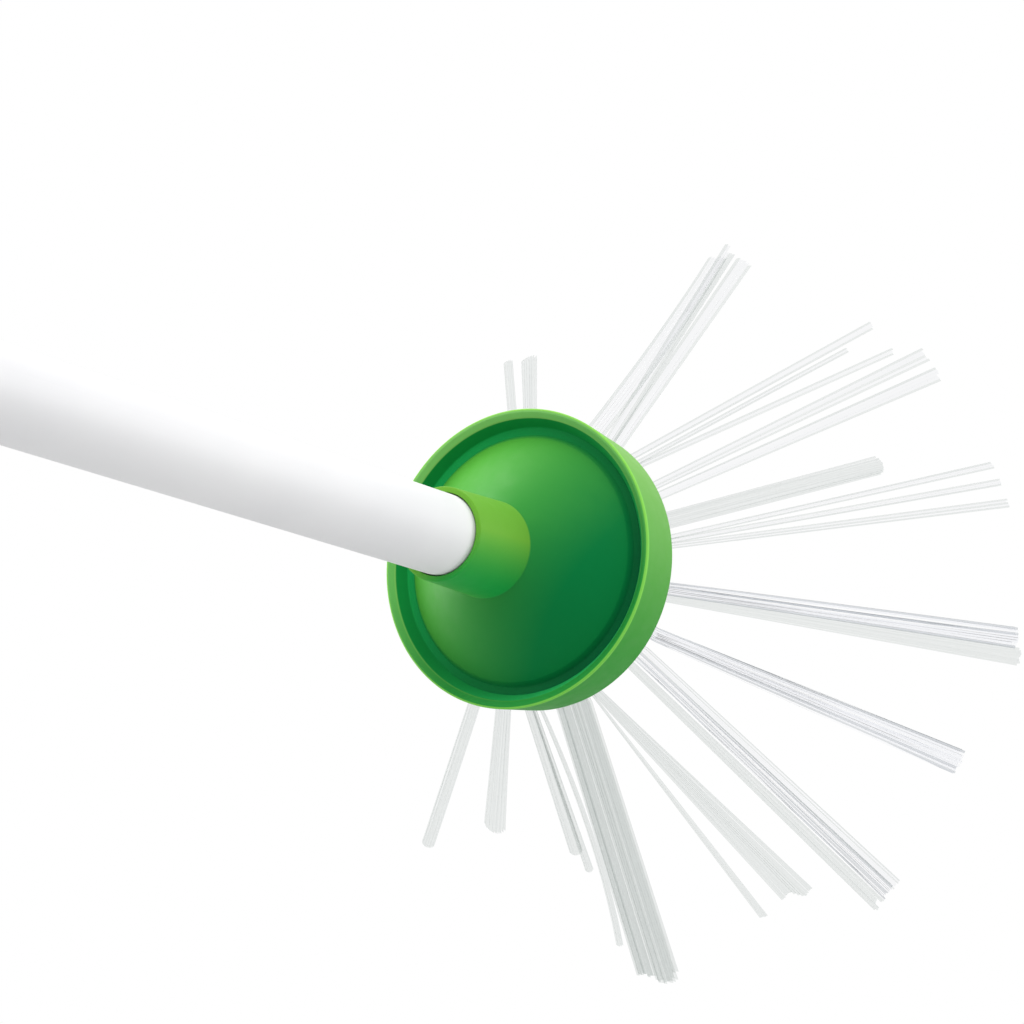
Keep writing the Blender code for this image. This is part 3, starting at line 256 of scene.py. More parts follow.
def fillet(points, radius, parts=4):
    """The closed polygon with each corner turned into an arc, as large as its sides allow."""
    rounded = []
    count = len(points)
    for i, point in enumerate(points):
        here = Vector(point[:2])
        reach = point[2] if len(point) > 2 else radius
        before, after = Vector(points[i - 1][:2]) - here, Vector(points[(i + 1) % count][:2]) - here
        angle = before.angle(after, pi)
        if here.y < 1e-6 or reach <= 0 or angle > radians(172):
            rounded.append(tuple(here))
            continue
        cut = min(reach / tan(angle / 2), before.length * 0.45, after.length * 0.45)
        start, end = here + before.normalized() * cut, here + after.normalized() * cut
        for k in range(parts + 1):
            t = k / parts
            rounded.append(tuple(start * (1 - t) ** 2 + here * (2 * t * (1 - t)) + end * t ** 2))
    return rounded


def lathe(name, profile, steps=128, radius=0.0003, matrix=Matrix()):
    """A closed solid turned about X from a closed profile of (x, radius[, fillet]) points."""
    profile = fillet(profile, radius) if radius else [p[:2] for p in profile]
    bm = bmesh.new()
    rings = []
    for x, r in profile:
        turns = [tau * k / steps for k in range(steps if r > 1e-6 else 1)]
        rings.append([bm.verts.new((x, r * cos(turn), r * sin(turn))) for turn in turns])
    for i, ring in enumerate(rings):
        other = rings[(i + 1) % len(rings)]
        if len(ring) == 1 and len(other) == 1:
            continue
        for k in range(steps):
            j = (k + 1) % steps
            corners = [ring[k % len(ring)], ring[j % len(ring)], other[j % len(other)], other[k % len(other)]]
            bm.faces.new(list(dict.fromkeys(corners)))
    mesh = mesh_of(bm, name)
    mesh.transform(matrix)
    return link(name, mesh)


def rod(bm, radius, low, high, steps, matrix):
    """Adds a cylinder along the matrix's Y axis."""
    middle = Matrix.Translation((0, (low + high) / 2, 0)) @ turned(TURN, "X")
    bmesh.ops.create_cone(bm, cap_ends=True, segments=steps, radius1=radius, radius2=radius,
                          depth=high - low, matrix=matrix @ middle)


def block(bm, low, high, matrix=Matrix()):
    middle = Matrix.Translation([(a + b) / 2 for a, b in zip(low, high)])
    size = Matrix.Diagonal([b - a for a, b in zip(low, high)] + [1])
    bmesh.ops.create_cube(bm, size=1, matrix=matrix @ middle @ size)


def tool(make, *rows):
    """An object of rods or blocks, one for each row."""
    bm = bmesh.new()
    for row in rows:
        make(bm, *row)
    return link("tool", mesh_of(bm, "tool"))


def combine(obj, joined=(), cut=(), tools=()):
    """Applies the (tool, operation) pairs, then joins tools, cuts others out and drops both."""
    pairs = [*tools, *((other, "UNION") for other in joined), *((other, "DIFFERENCE") for other in cut)]
    for other, operation in pairs:
        modifier = obj.modifiers.new(other.name, "BOOLEAN")
        modifier.operation = operation
        modifier.object = other
    bake(obj)
    drop(*joined, *cut)


def drop(*objs):
    for obj in objs:
        bpy.data.objects.remove(obj)


def evaluated_mesh(obj):
    bpy.context.view_layer.update()
    graph = bpy.context.evaluated_depsgraph_get()
    return bpy.data.meshes.new_from_object(obj.evaluated_get(graph), depsgraph=graph)


def bake(obj):
    mesh = evaluated_mesh(obj)
    obj.modifiers.clear()
    obj.data = mesh


def soften(obj, width, segments=2, angle=30, clamp=True, miter="MITER_ARC"):
    """Rounds the object's sharp edges, so that they catch the light."""
    bevel = obj.modifiers.new("soften", "BEVEL")
    bevel.width = width
    bevel.segments = segments
    bevel.limit_method = "ANGLE"
    bevel.angle_limit = radians(angle)
    bevel.use_clamp_overlap = clamp
    bevel.miter_outer = miter
    bake(obj)


def finish(obj, body, material, node):
    obj.data.materials.clear()
    obj.data.materials.append(material)
    obj.data.shade_smooth()
    obj.data.set_sharp_from_angle(angle=radians(32))
    if body:
        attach(obj, body)
    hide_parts(node)
    return obj


def curve_between(first, last, first_way, last_way, share):
    """A point on the smooth curve that leaves the first point one way and meets the last another way."""
    square, cube = share ** 2, share ** 3
    return (first * (2 * cube - 3 * square + 1) + first_way * (cube - 2 * square + share)
            + last * (3 * square - 2 * cube) + last_way * (cube - square))


def smooth_outline(points, parts):
    """The closed outline with smooth curves through its points, each in so many parts."""
    outline = []
    for i, start in enumerate(points):
        before, end, after = (points[(i + j) % len(points)] for j in (-1, 1, 2))
        for part in range(parts):
            outline.append([curve_between(b, c, (c - a) / 2, (d - b) / 2, part / parts)
                            for a, b, c, d in zip(before, start, end, after)])
    return outline


def poly_curve(name, points, dimensions):
    curve = bpy.data.curves.new(name, "CURVE")
    curve.dimensions = dimensions
    spline = curve.splines.new("POLY")
    spline.points.add(len(points) - 1)
    for point, place in zip(spline.points, points):
        point.co = (*place, 1)
    return curve


def curve_mesh(curve, matrix=Matrix()):
    guide = link(curve.name + "_curve", curve, matrix)
    mesh = evaluated_mesh(guide)
    mesh.transform(guide.matrix_world)
    drop(guide)
    return mesh


def plate(name, outline, half_width, rounding=0.0, segments=1):
    """A flat piece with this outline in X and Z, as wide in Y, with rounded edges."""
    curve = poly_curve(name, [(x, z, 0) for x, z in outline], "2D")
    curve.fill_mode = "BOTH"
    curve.extrude = half_width
    curve.splines[0].use_cyclic_u = True
    bm = bmesh.new()
    bm.from_mesh(curve_mesh(curve, turned(TURN, "X")))
    bmesh.ops.remove_doubles(bm, verts=bm.verts, dist=1e-5)
    bmesh.ops.dissolve_limit(bm, angle_limit=radians(1), verts=bm.verts, edges=bm.edges)
    obj = link(name, mesh_of(bm, name))
    if rounding:
        soften(obj, rounding, segments, 50, False, "MITER_SHARP")
    return obj


def cell(angle):
    """Turns a piece made in the XZ plane above the axis to this angle round the tube's axis."""
    return turned(angle - TURN, "X")


def tuft_angle(index):
    return radians(FIRST_ANGLE + ANGLE_STEP * index)


def rib_angle(index):
    return tuft_angle(index) + radians(ANGLE_STEP / 2)


def linear(*srgb):
    """The linear colour of an 8-bit sRGB one."""
    shares = [value / 255 for value in srgb]
    return tuple(c / 12.92 if c <= 0.04045 else ((c + 0.055) / 1.055) ** 2.4 for c in shares)


def connect(tree, node, inputs):
    """Sets a node's inputs to values, or links them to other nodes' outputs."""
    for name, value in inputs.items():
        if isinstance(value, bpy.types.NodeSocket):
            tree.links.new(value, node.inputs[name])
        else:
            node.inputs[name].default_value = value


def add(tree, kind, inputs, **settings):
    node = tree.nodes.new("ShaderNode" + kind)
    for name, value in settings.items():
        setattr(node, name, value)
    connect(tree, node, inputs)
    return node


def noise(tree, vector, scale, detail=3.0, roughness=0.5):
    inputs = {"Vector": vector, "Scale": scale, "Detail": detail, "Roughness": roughness}
    return add(tree, "TexNoise", inputs).outputs["Fac"]


def spread(tree, value, low, high, source=(0.3, 0.7), **settings):
    inputs = {"Value": value, "From Min": source[0], "From Max": source[1], "To Min": low, "To Max": high}
    return add(tree, "MapRange", inputs, **settings).outputs["Result"]


def blended(tree, factor, first, second):
    return add(tree, "Mix", {"Factor": factor, "A": first, "B": second}, data_type="RGBA").outputs["Result"]


BUMP_STRENGTH = 0.35
GLOSS_LOW, GLOSS_HIGH = -0.05, 0.08
GLOSS_DRIFT = 9


def surface(name, first, second, roughness, drift=28.0, peel=520.0, depth=0.00003, stretch=(1, 1, 1),
            metallic=0.0, specular=0.5, tint=(1, 1, 1), clear=0.0, ior=1.5, use_uv=False):
    """A moulded or drawn material: slow colour drift, uneven gloss and a fine skin."""
    material = bpy.data.materials.new(name)
    material.use_nodes = True
    material.diffuse_color = (*first, 1)
    tree = material.node_tree
    coords = tree.nodes.new("ShaderNodeTexCoord").outputs["UV" if use_uv else "Object"]
    place = add(tree, "Mapping", {"Scale": stretch, "Vector": coords}).outputs["Vector"]
    share = spread(tree, noise(tree, place, drift), 0, 1)
    gloss = noise(tree, place, drift * GLOSS_DRIFT, 4.0)
    skin = {"Strength": BUMP_STRENGTH, "Distance": depth, "Height": noise(tree, place, peel, 2.0)}
    connect(tree, tree.nodes["Principled BSDF"], {
        "Base Color": blended(tree, share, (*first, 1), (*second, 1)),
        "Roughness": spread(tree, gloss, roughness + GLOSS_LOW, roughness + GLOSS_HIGH),
        "Normal": add(tree, "Bump", skin).outputs["Normal"],
        "Metallic": metallic, "Specular IOR Level": specular, "Specular Tint": (*tint, 1),
        "Transmission Weight": clear, "IOR": ior,
    })
    return material


def step(tree, value, edge, width, rising):
    """Goes smoothly from 0 to 1, or back, as the value passes the edge."""
    low, high = (0, 1) if rising else (1, 0)
    source = (edge - width / 2, edge + width / 2)
    return spread(tree, value, low, high, source, interpolation_type="SMOOTHSTEP")


def paint_light_and_shade_by_place(material, regions):
    """Paints light and shade into the head's colour: each region gets a green that fades from one 8-bit tone
    to another along its painted light's axis, mostly from painted shade to painted light.
    """
    tree = material.node_tree
    base = tree.nodes["Principled BSDF"].inputs["Base Color"]
    place = tree.nodes.new("ShaderNodeTexCoord").outputs["Object"]
    along = add(tree, "SeparateXYZ", {"Vector": place}).outputs["X"]
    flat = add(tree, "VectorMath", {0: place, 1: (0, 1, 1)}, operation="MULTIPLY").outputs["Vector"]
    radius = add(tree, "VectorMath", {0: flat}, operation="LENGTH").outputs["Value"]
    for low_x, high_x, low_r, high_r, soft, painted_light_axis, fade, away_green, toward_green in regions:
        mask = step(tree, along, low_x, soft, True)
        for value, edge, rising in ((along, high_x, False), (radius, low_r, True), (radius, high_r, False)):
            part = step(tree, value, edge, soft, rising)
            mask = add(tree, "Math", {0: mask, 1: part}, operation="MULTIPLY").outputs["Value"]
        # Painted light and shade: the green follows which side of the head the region's axis points to, not
        # any lamp
        lit = add(tree, "VectorMath", {0: flat, 1: painted_light_axis}, operation="DOT_PRODUCT").outputs["Value"]
        share = spread(tree, lit, 0, 1, [end * high_r for end in fade])
        painted_light_tone = blended(tree, share, (*linear(*away_green), 1), (*linear(*toward_green), 1))
        tree.links.new(blended(tree, mask, base.links[0].from_socket, painted_light_tone), base)
    return material


# Directions in the head's Y and Z from which its painted light falls
PAINTED_LIGHT_FROM_ABOVE = (0.0, 0.36, 0.93)
PAINTED_LIGHT_FROM_LEFT = (0.0, 0.815, 0.58)
# The bell's regions of painted light and shade: groove floor, cone, groove wall, collar, rim face, rim edge
# and band. Each lies between two places along the axis and two radii, with soft edges this wide. It fades
# between two shares of its outer radius from one 8-bit green to another along its painted light's axis:
# painted shade to painted light on the floor, cone, collar, rim face and band, the floor darkest as a shaded
# recess, the groove wall painted lighter on its right side, and the rim edge a painted highlight line.
PAINTED_LIGHT_REGIONS = (
    # Groove floor: painted shade in the recess, lighter towards the upper left
    (0.4565, 0.4780, 0.0115, 0.0376, 0.0006, PAINTED_LIGHT_FROM_LEFT, (-0.8, 0.8), (4, 92, 54), (24, 158, 80)),
    # Cone: painted light on its upper left, painted shade on its lower right
    (0.4550, 0.4755, 0.0100, 0.0330, 0.0020, PAINTED_LIGHT_FROM_LEFT, (-0.65, 0.75), (2, 118, 62), (80, 168, 56)),
    # Groove wall: painted lighter on the right side, darker on the left
    (0.4700, 0.4740, 0.0357, 0.0377, 0.0004, PAINTED_LIGHT_FROM_LEFT, (-0.9, 0.3), (44, 178, 94), (16, 132, 62)),
    # Collar: painted light on top, painted shade below
    (0.4200, 0.4565, 0.0090, 0.0140, 0.0008, PAINTED_LIGHT_FROM_ABOVE, (-0.95, -0.3), (8, 160, 70), (108, 172, 58)),
    # Rim face: painted light on top, painted shade below
    (0.4690, 0.4713, 0.0376, 0.0395, 0.0004, PAINTED_LIGHT_FROM_ABOVE, (-0.6, 0.95), (40, 146, 62), (130, 198, 108)),
    # Rim edge: a painted highlight line
    (0.4690, 0.4709, 0.0395, 0.0410, 0.0003, PAINTED_LIGHT_FROM_ABOVE, (-0.9, 0.9), (124, 206, 84), (144, 212, 92)),
    # Band: painted light on top, painted shade below
    (0.4709, 0.4900, 0.0377, 0.0410, 0.0003, PAINTED_LIGHT_FROM_ABOVE, (-0.9, 0.3), (60, 154, 60), (130, 190, 96)),
)
GREEN_GLOSS = (0.35, 1.0, 0.10)
GREEN = surface("green_moulding", linear(98, 170, 78), linear(88, 164, 78), 0.40,
                specular=0.35, tint=GREEN_GLOSS)
# The head's green, with light and shade painted in region by region
HEAD_GREEN_WITH_PAINTED_LIGHT = paint_light_and_shade_by_place(surface("head_moulding_painted_light", linear(112, 182, 88), linear(102, 176, 80), 0.50,
                              specular=0.18, tint=GREEN_GLOSS), PAINTED_LIGHT_REGIONS)
DARK_GREEN = surface("dark_green_moulding", linear(18, 112, 58), linear(30, 126, 62), 0.40)
WHITE = surface("white_lacquer", linear(238, 238, 239), linear(232, 232, 234), 0.42, drift=14, peel=300,
                depth=0.000006, specular=0.2)
WHITE_PLASTIC = surface("white_moulding", linear(232, 232, 230), linear(224, 224, 222), 0.34)
GREY = surface("grey_moulding", linear(120, 122, 124), linear(104, 106, 109), 0.42)
STEEL = surface("bright_steel", linear(190, 192, 196), linear(168, 170, 174), 0.26, drift=60, peel=900,
                stretch=(1, 6, 6), metallic=1.0)


def clear_plastic(name, first, second, roughness, ior, clear=1.0):
    """Soft clear plastic, streaked along each filament."""
    return surface(name, first, second, roughness, drift=30, peel=60, depth=0.00001, stretch=(1, 0.03, 1),
                   clear=clear, ior=ior, use_uv=True)


# The outline look is a darker filament: painted edge shade at a clear bundle's sides, as milky is at a pale
# bundle's sides; a few other first-layer filaments get it at random as darker streaks
LOOKS = ("clear", "milky", "pale", "outline")
EDGE_SHADE_LOOK = {"clear": "outline", "pale": "milky", "milky": "milky"}
FLAT_LOOKS = ("milky", "pale")
FILAMENTS = {
    "clear": clear_plastic("clear_filament", linear(246, 247, 249), linear(254, 254, 255), 0.14, 1.14),
    "milky": clear_plastic("milky_filament", linear(227, 230, 229), linear(238, 240, 239), 0.13, 1.03, 0.97),
    "pale": clear_plastic("pale_filament", linear(242, 243, 244), linear(250, 250, 251), 0.10, 1.03),
    "outline": clear_plastic("edge_shade_filament", linear(210, 213, 216), linear(230, 232, 234), 0.14, 1.12),
}


def head_cup():
    front = RIM_X + BAND_LENGTH
    band_inside = RIM_RADIUS - BAND_TAPER - BAND_WALL
    groove_floor = RIM_X + GROOVE_DEPTH
    collar_root = RIM_X - CONE_BACK
    mouth = collar_root - COLLAR_LENGTH
    stop = TUBE_FRONT + GAP
    ledge = RIM_X + LEDGE_DEPTH
    obj = lathe("head_bell", [
        (front, band_inside, 0.0003), (front, RIM_RADIUS - BAND_TAPER, 0.0006), (RIM_X, RIM_RADIUS, 0.0006),
        (RIM_X, RIM_RADIUS - RIM_EDGE, 0.0004), (RIM_X + RIM_FACE_SLOPE, RIM_RADIUS - RIM_FACE_WIDTH, 0.0003),
        (groove_floor, GROOVE_OUTER_RADIUS, 0.0005), (groove_floor, GROOVE_INNER_RADIUS, 0.0004),
        (RIM_X + CONE_EDGE_DEPTH, CONE_EDGE_RADIUS, 0.0009), (collar_root, COLLAR_ROOT_RADIUS, 0.0007),
        (mouth, COLLAR_MOUTH_RADIUS, 0.0004), (mouth, TUBE_SEAT_RADIUS, 0.0002), (stop, TUBE_SEAT_RADIUS, 0),
        (stop, TUBE_STOP_RADIUS, 0), (stop + TUBE_STOP_LENGTH, TUBE_STOP_RADIUS, 0),
        (stop + TUBE_STOP_LENGTH, STOP_FRONT_RADIUS, 0), (RIM_X + CONE_INSIDE[0], CONE_INSIDE[1], 0.0006),
        (ledge, CONE_INSIDE[1], 0.0002), (ledge, band_inside, 0.0002),
    ], steps=256)
    # The head cup gets the green with painted light and shade
    finish(obj, ROOT, HEAD_GREEN_WITH_PAINTED_LIGHT, "head_cup")


def slots(inner, low, high):
    half = SLOT_WIDTH / 2
    outer = RING_HUB_RADIUS + OVERRUN
    return tool(block, *[((low, -half, inner), (high, half, outer), cell(tuft_angle(index)))
                         for index in range(TUFTS)])


def drills(angles, ring, radius, low, high):
    way = at(0, ring) @ turned(-TURN, "Z")
    return tool(rod, *[(radius, low, high, 24, cell(angle) @ way) for angle in angles])


def cover_angles():
    return [rib_angle(4 * index) for index in range(4)]


def ring_angles():
    return [rib_angle(0) + radians(120) * index for index in range(3)]


def hinge_ring():
    channel_x = HINGE_X - STUB_RADIUS - GAP
    inner = HINGE_RADIUS - STUB_RADIUS - GAP
    outer = HINGE_RADIUS + STUB_RADIUS + CHANNEL_OUTER_GAP
    edge = RIM_RADIUS - BAND_TAPER - BAND_WALL - GAP
    plate_x = RING_REAR_X + RING_PLATE_LENGTH
    front, rear = RING_FRONT_X, RING_REAR_X
    obj = lathe("hinge_ring_moulding", [
        (front, RING_BORE_RADIUS), (front, inner), (channel_x, inner), (channel_x, outer), (front, outer),
        (front, RING_HUB_RADIUS), (plate_x, RING_HUB_RADIUS), (plate_x, edge), (rear, edge),
        (rear, RING_BORE_RADIUS),
    ], steps=160, radius=0)
    past = front + OVERRUN
    combine(obj, cut=[
        slots(RING_BORE_RADIUS - 2 * GAP, SLOT_FLOOR_X, past),
        drills(cover_angles(), COVER_SCREW_RING, COVER_SCREW[0] + PILOT_GAP, front - COVER_SCREW_DEPTH, past),
        drills(ring_angles(), RING_SCREW_RING, RING_SCREW[0] + GAP, rear - OVERRUN,
               plate_x + OVERRUN),
    ])
    soften(obj, SLIGHT_ROUNDING)
    finish(obj, ROOT, DARK_GREEN, "hinge_ring")


def front_cover():
    rear, front = COVER_REAR_X, COVER_FRONT_X
    floor = PLUNGER_X + PLUNGER_GROOVE_HALF + FLANGE_THICKNESS + DOME_GAP
    lip_x = HINGE_X + STUB_RADIUS + GAP
    inner = HINGE_RADIUS - STUB_RADIUS
    outer = HINGE_RADIUS + STUB_RADIUS + GAP
    dome = [(floor + DOME_WALL + ahead, out) for ahead, out in DOME_CROWN]
    dome += [(front + ahead, out) for ahead, out in DOME_FOOT]
    obj = lathe("front_cap", dome + [
        (front, COVER_DISC_RADIUS, 0.0004), (front, RING_HUB_RADIUS, 0), (rear, RING_HUB_RADIUS, 0),
        (rear, outer, 0), (lip_x, outer, 0), (lip_x, inner, 0), (rear, inner, 0), (rear, DOME_FOOT_RADIUS, 0),
        (floor, FLANGE_RADIUS + DOME_GAP, 0), (floor, 0.0, 0),
    ], steps=160)
    past = front + OVERRUN
    combine(obj, cut=[
        slots(COVER_DISC_RADIUS, lip_x - OVERRUN, past),
        drills(cover_angles(), COVER_SCREW_RING, COVER_SCREW[0] + GAP, rear - OVERRUN, past),
    ])
    soften(obj, SLIGHT_ROUNDING)
    finish(obj, ROOT, GREEN, "front_cover")


# A screw head's outline: shares of its length and of its radius, and rounding as a share of its radius.
# Its recess, as shares of its radius or length, and the end of its shank, as a share of the shank's radius.
HEAD_OUTLINE = ((1.0, 0.0, 0.0), (1.0, 0.45, 0.5), (0.62, 0.93, 0.3))
RECESS_REACH_SHARE = 0.62
RECESS_HALF_SHARE = 0.13
RECESS_FLOOR_SHARE = 0.45
SHANK_END_SHARE = 0.4
GRIP_SCREW_SPIN = 0.7


def screw_mesh(radius, head_radius, head_length, length):
    """A pan-head screw along X with a cross recess, its head's seat at the origin."""
    head = [(head_length * a, head_radius * b, head_radius * c) for a, b, c in HEAD_OUTLINE]
    obj = lathe("screw", head + [
        (0, head_radius, 0.0001), (0, radius, 0), (-length + radius, radius, 0.0002),
        (-length, radius * SHANK_END_SHARE, 0.0001), (-length, 0),
    ], steps=40)
    reach, half = head_radius * RECESS_REACH_SHARE, head_radius * RECESS_HALF_SHARE
    floor, past = head_length * RECESS_FLOOR_SHARE, head_length + OVERRUN
    combine(obj, cut=[tool(block, ((floor, -reach, -half), (past, reach, half)),
                                  ((floor, -half, -reach), (past, half, reach)))])
    mesh = obj.data
    drop(obj)
    return mesh


def head_screws():
    cover = ("cap_screw_", "cover_screw_", COVER_SCREW, cover_angles(), COVER_FRONT_X, COVER_SCREW_RING, 3)
    ring = ("plate_screw_", "ring_screw_", RING_SCREW, ring_angles(), RING_REAR_X + RING_PLATE_LENGTH,
            RING_SCREW_RING, 2)
    for name, node, sizes, angles, seat, radius, spin in (cover, ring):
        mesh = screw_mesh(*sizes)
        for number, angle in enumerate(angles, 1):
            spot = at(seat + GAP, 0) @ cell(angle) @ at(0, radius) @ turned(angle * spin, "X")
            finish(placed(f"{name}{number}", mesh, spot), ROOT, STEEL, f"{node}{number}")


def placed(name, mesh, matrix):
    mesh = mesh.copy()
    mesh.transform(matrix)
    return link(name, mesh)


def tube():
    obj = lathe("long_tube", [
        (TUBE_FRONT, TUBE_BORE_RADIUS), (TUBE_FRONT, TUBE_RADIUS), (TUBE_REAR, TUBE_RADIUS),
        (TUBE_REAR, TUBE_BORE_RADIUS),
    ], steps=192, radius=0.0003)
    hole = (HANDLE_SCREW[0] + GAP, TUBE_HOLE_OUTSIDE, TUBE_HOLE_INSIDE, 32, at(BARREL_FRONT, 0))
    combine(obj, cut=[tool(rod, hole)])
    finish(obj, ROOT, WHITE, "tube")


def pin(name, radius, half, steps, rounding, place):
    profile = [(half, 0), (half, radius), (-half, radius), (-half, 0)]
    return lathe(name, profile, steps, rounding, place @ turned(TURN, "Z"))


def sleeve(name, low, high, outer):
    """A round piece with a bore for the rod."""
    return lathe(name, [(low, ROD_BORE), (high, ROD_BORE), (high, outer), (low, outer)], 96)


def rod_guides():
    bore = ROD_BORE
    outer = TUBE_BORE_RADIUS - GAP
    finish(sleeve("front_bush", TUBE_FRONT - GUIDE_LENGTH, TUBE_FRONT, outer),
           ROOT, GREY, "front_rod_guide")
    front = TUBE_REAR + GUIDE_LENGTH
    seat = TUBE_REAR - GAP
    rear = seat - GUIDE_FLANGE_LENGTH
    finish(lathe("rear_bush", [
        (front, bore), (front, outer), (seat, outer), (seat, TUBE_RADIUS), (rear, TUBE_RADIUS), (rear, bore),
    ], 96), ROOT, GREY, "rear_rod_guide")


def plunger():
    bore = ROD_BORE
    front = PLUNGER_X + PLUNGER_GROOVE_HALF
    rear = PLUNGER_X - PLUNGER_GROOVE_HALF
    first = front + FLANGE_THICKNESS
    last = rear - FLANGE_THICKNESS
    end = last - PLUNGER_HUB_LENGTH
    finish(lathe("spool", [
        (first, 0), (first, FLANGE_RADIUS), (front, FLANGE_RADIUS), (front, SPOOL_RADIUS),
        (rear, SPOOL_RADIUS), (rear, FLANGE_RADIUS), (last, FLANGE_RADIUS), (last, PLUNGER_HUB_RADIUS),
        (end, PLUNGER_HUB_RADIUS), (end, bore), (front, bore), (front, 0),
    ], 96), ROD_BODY, GREY, "plunger")


def push_rod():
    front = PLUNGER_X + PLUNGER_GROOVE_HALF - GAP
    rear = CROSS_PIN_X - ROD_TAIL
    obj = lathe("long_rod", [(front, 0), (front, ROD_RADIUS), (rear, ROD_RADIUS), (rear, 0)], 48)
    reach = 2 * ROD_RADIUS
    combine(obj, cut=[tool(rod, (CROSS_PIN_RADIUS + GAP, -reach, reach, 32, at(CROSS_PIN_X, 0)))])
    finish(obj, ROD_BODY, STEEL, "push_rod")


def collar_and_pins():
    front = SPRING_REAR - GAP
    finish(sleeve("rod_collar", front - COLLAR_THICKNESS, front, COLLAR_RADIUS),
           ROD_BODY, STEEL, "spring_collar")
    finish(pin("fork_pin", CROSS_PIN_RADIUS, CROSS_PIN_HALF_LENGTH, 40, 0.0002, at(CROSS_PIN_X, 0)),
           ROD_BODY, STEEL, "cross_pin")
    finish(pin("pivot_pin", PIVOT_PIN_RADIUS, PIVOT_PIN_HALF_LENGTH, 48, 0.0003, PIVOT),
           ROOT, STEEL, "trigger_pin")


def return_spring():
    """The same coil as the CAD's, finer, tied to the guide in front and the rod's collar behind."""
    low, high, radius, wire = SPRING_REAR, SPRING_FRONT, SPRING_RADIUS, SPRING_WIRE_RADIUS
    length = high - low - 2 * wire
    steps = SPRING_TURNS * SPRING_STEPS_PER_TURN
    points = [(low + wire, radius, -2 * wire)]
    for i in range(steps + 1):
        turn = tau * i / SPRING_STEPS_PER_TURN
        points.append((low + wire + length * i / steps, radius * cos(turn), radius * sin(turn)))
    points.append((high - wire, radius, 2 * wire))
    curve = poly_curve("coil", points, "3D")
    curve.bevel_depth = wire
    curve.bevel_resolution = 4
    curve.use_fill_caps = True
    mesh = curve_mesh(curve)
    obj = finish(link("coil_spring", mesh), None, STEEL, "return_spring")
    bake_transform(obj)


def holder_mesh():
    """One tuft holder: hinge at the origin, tuft along X, hinge axis along Y."""
    flat = Matrix()
    tail = turned(OPEN_SPLAY - HALF_SWING + TURN, "Y")
    tail_end = tail @ at(TAIL_LENGTH, 0)
    width, thick, end = TAIL_HALF_WIDTH, TAIL_HALF_THICKNESS, TAIL_HALF_WIDTH + UNION_STEP
    neck, neck_high = HUB_HALF_WIDTH - UNION_STEP, NECK_HALF_THICKNESS
    wide, high = CUP_HALF_WIDTH, CUP_HALF_THICKNESS
    inner, inner_high = wide - CUP_WALL, high - CUP_WALL
    obj = tool(rod, (HUB_RADIUS, -HUB_HALF_WIDTH, HUB_HALF_WIDTH, 40, flat))
    combine(obj, [
        tool(rod, (STUB_RADIUS, -STUB_HALF_SPAN, STUB_HALF_SPAN, 32, flat)),
        tool(block, ((0, -width, -thick), (TAIL_LENGTH, width, thick), tail)),
        tool(rod, (TAIL_END_RADIUS, -end, end, 32, tail_end)),
        tool(block, ((0, -neck, -neck_high), (NECK_END, neck, neck_high))),
        tool(block, ((CUP_START, -wide, -high), (CUP_END, wide, high))),
    ], [
        tool(block, ((CUP_START + CUP_FLOOR, -inner, -inner_high),
                     (CUP_END + OVERRUN, inner, inner_high))),
    ])
    soften(obj, HOLDER_ROUNDING)
    mesh = obj.data
    drop(obj)
    return mesh


def tuft_frame(index):
    """From a tuft's own frame (along, across, out of the ring) to its place with the tufts open."""
    return cell(tuft_angle(index)) @ at(HINGE_X, HINGE_RADIUS) @ turned(-OPEN_SPLAY, "Y")


Bundle = namedtuple("Bundle", "tuft edge tip length edge_width tip_width filaments look end bow",
                    defaults=("clear", "cut", 0.0))
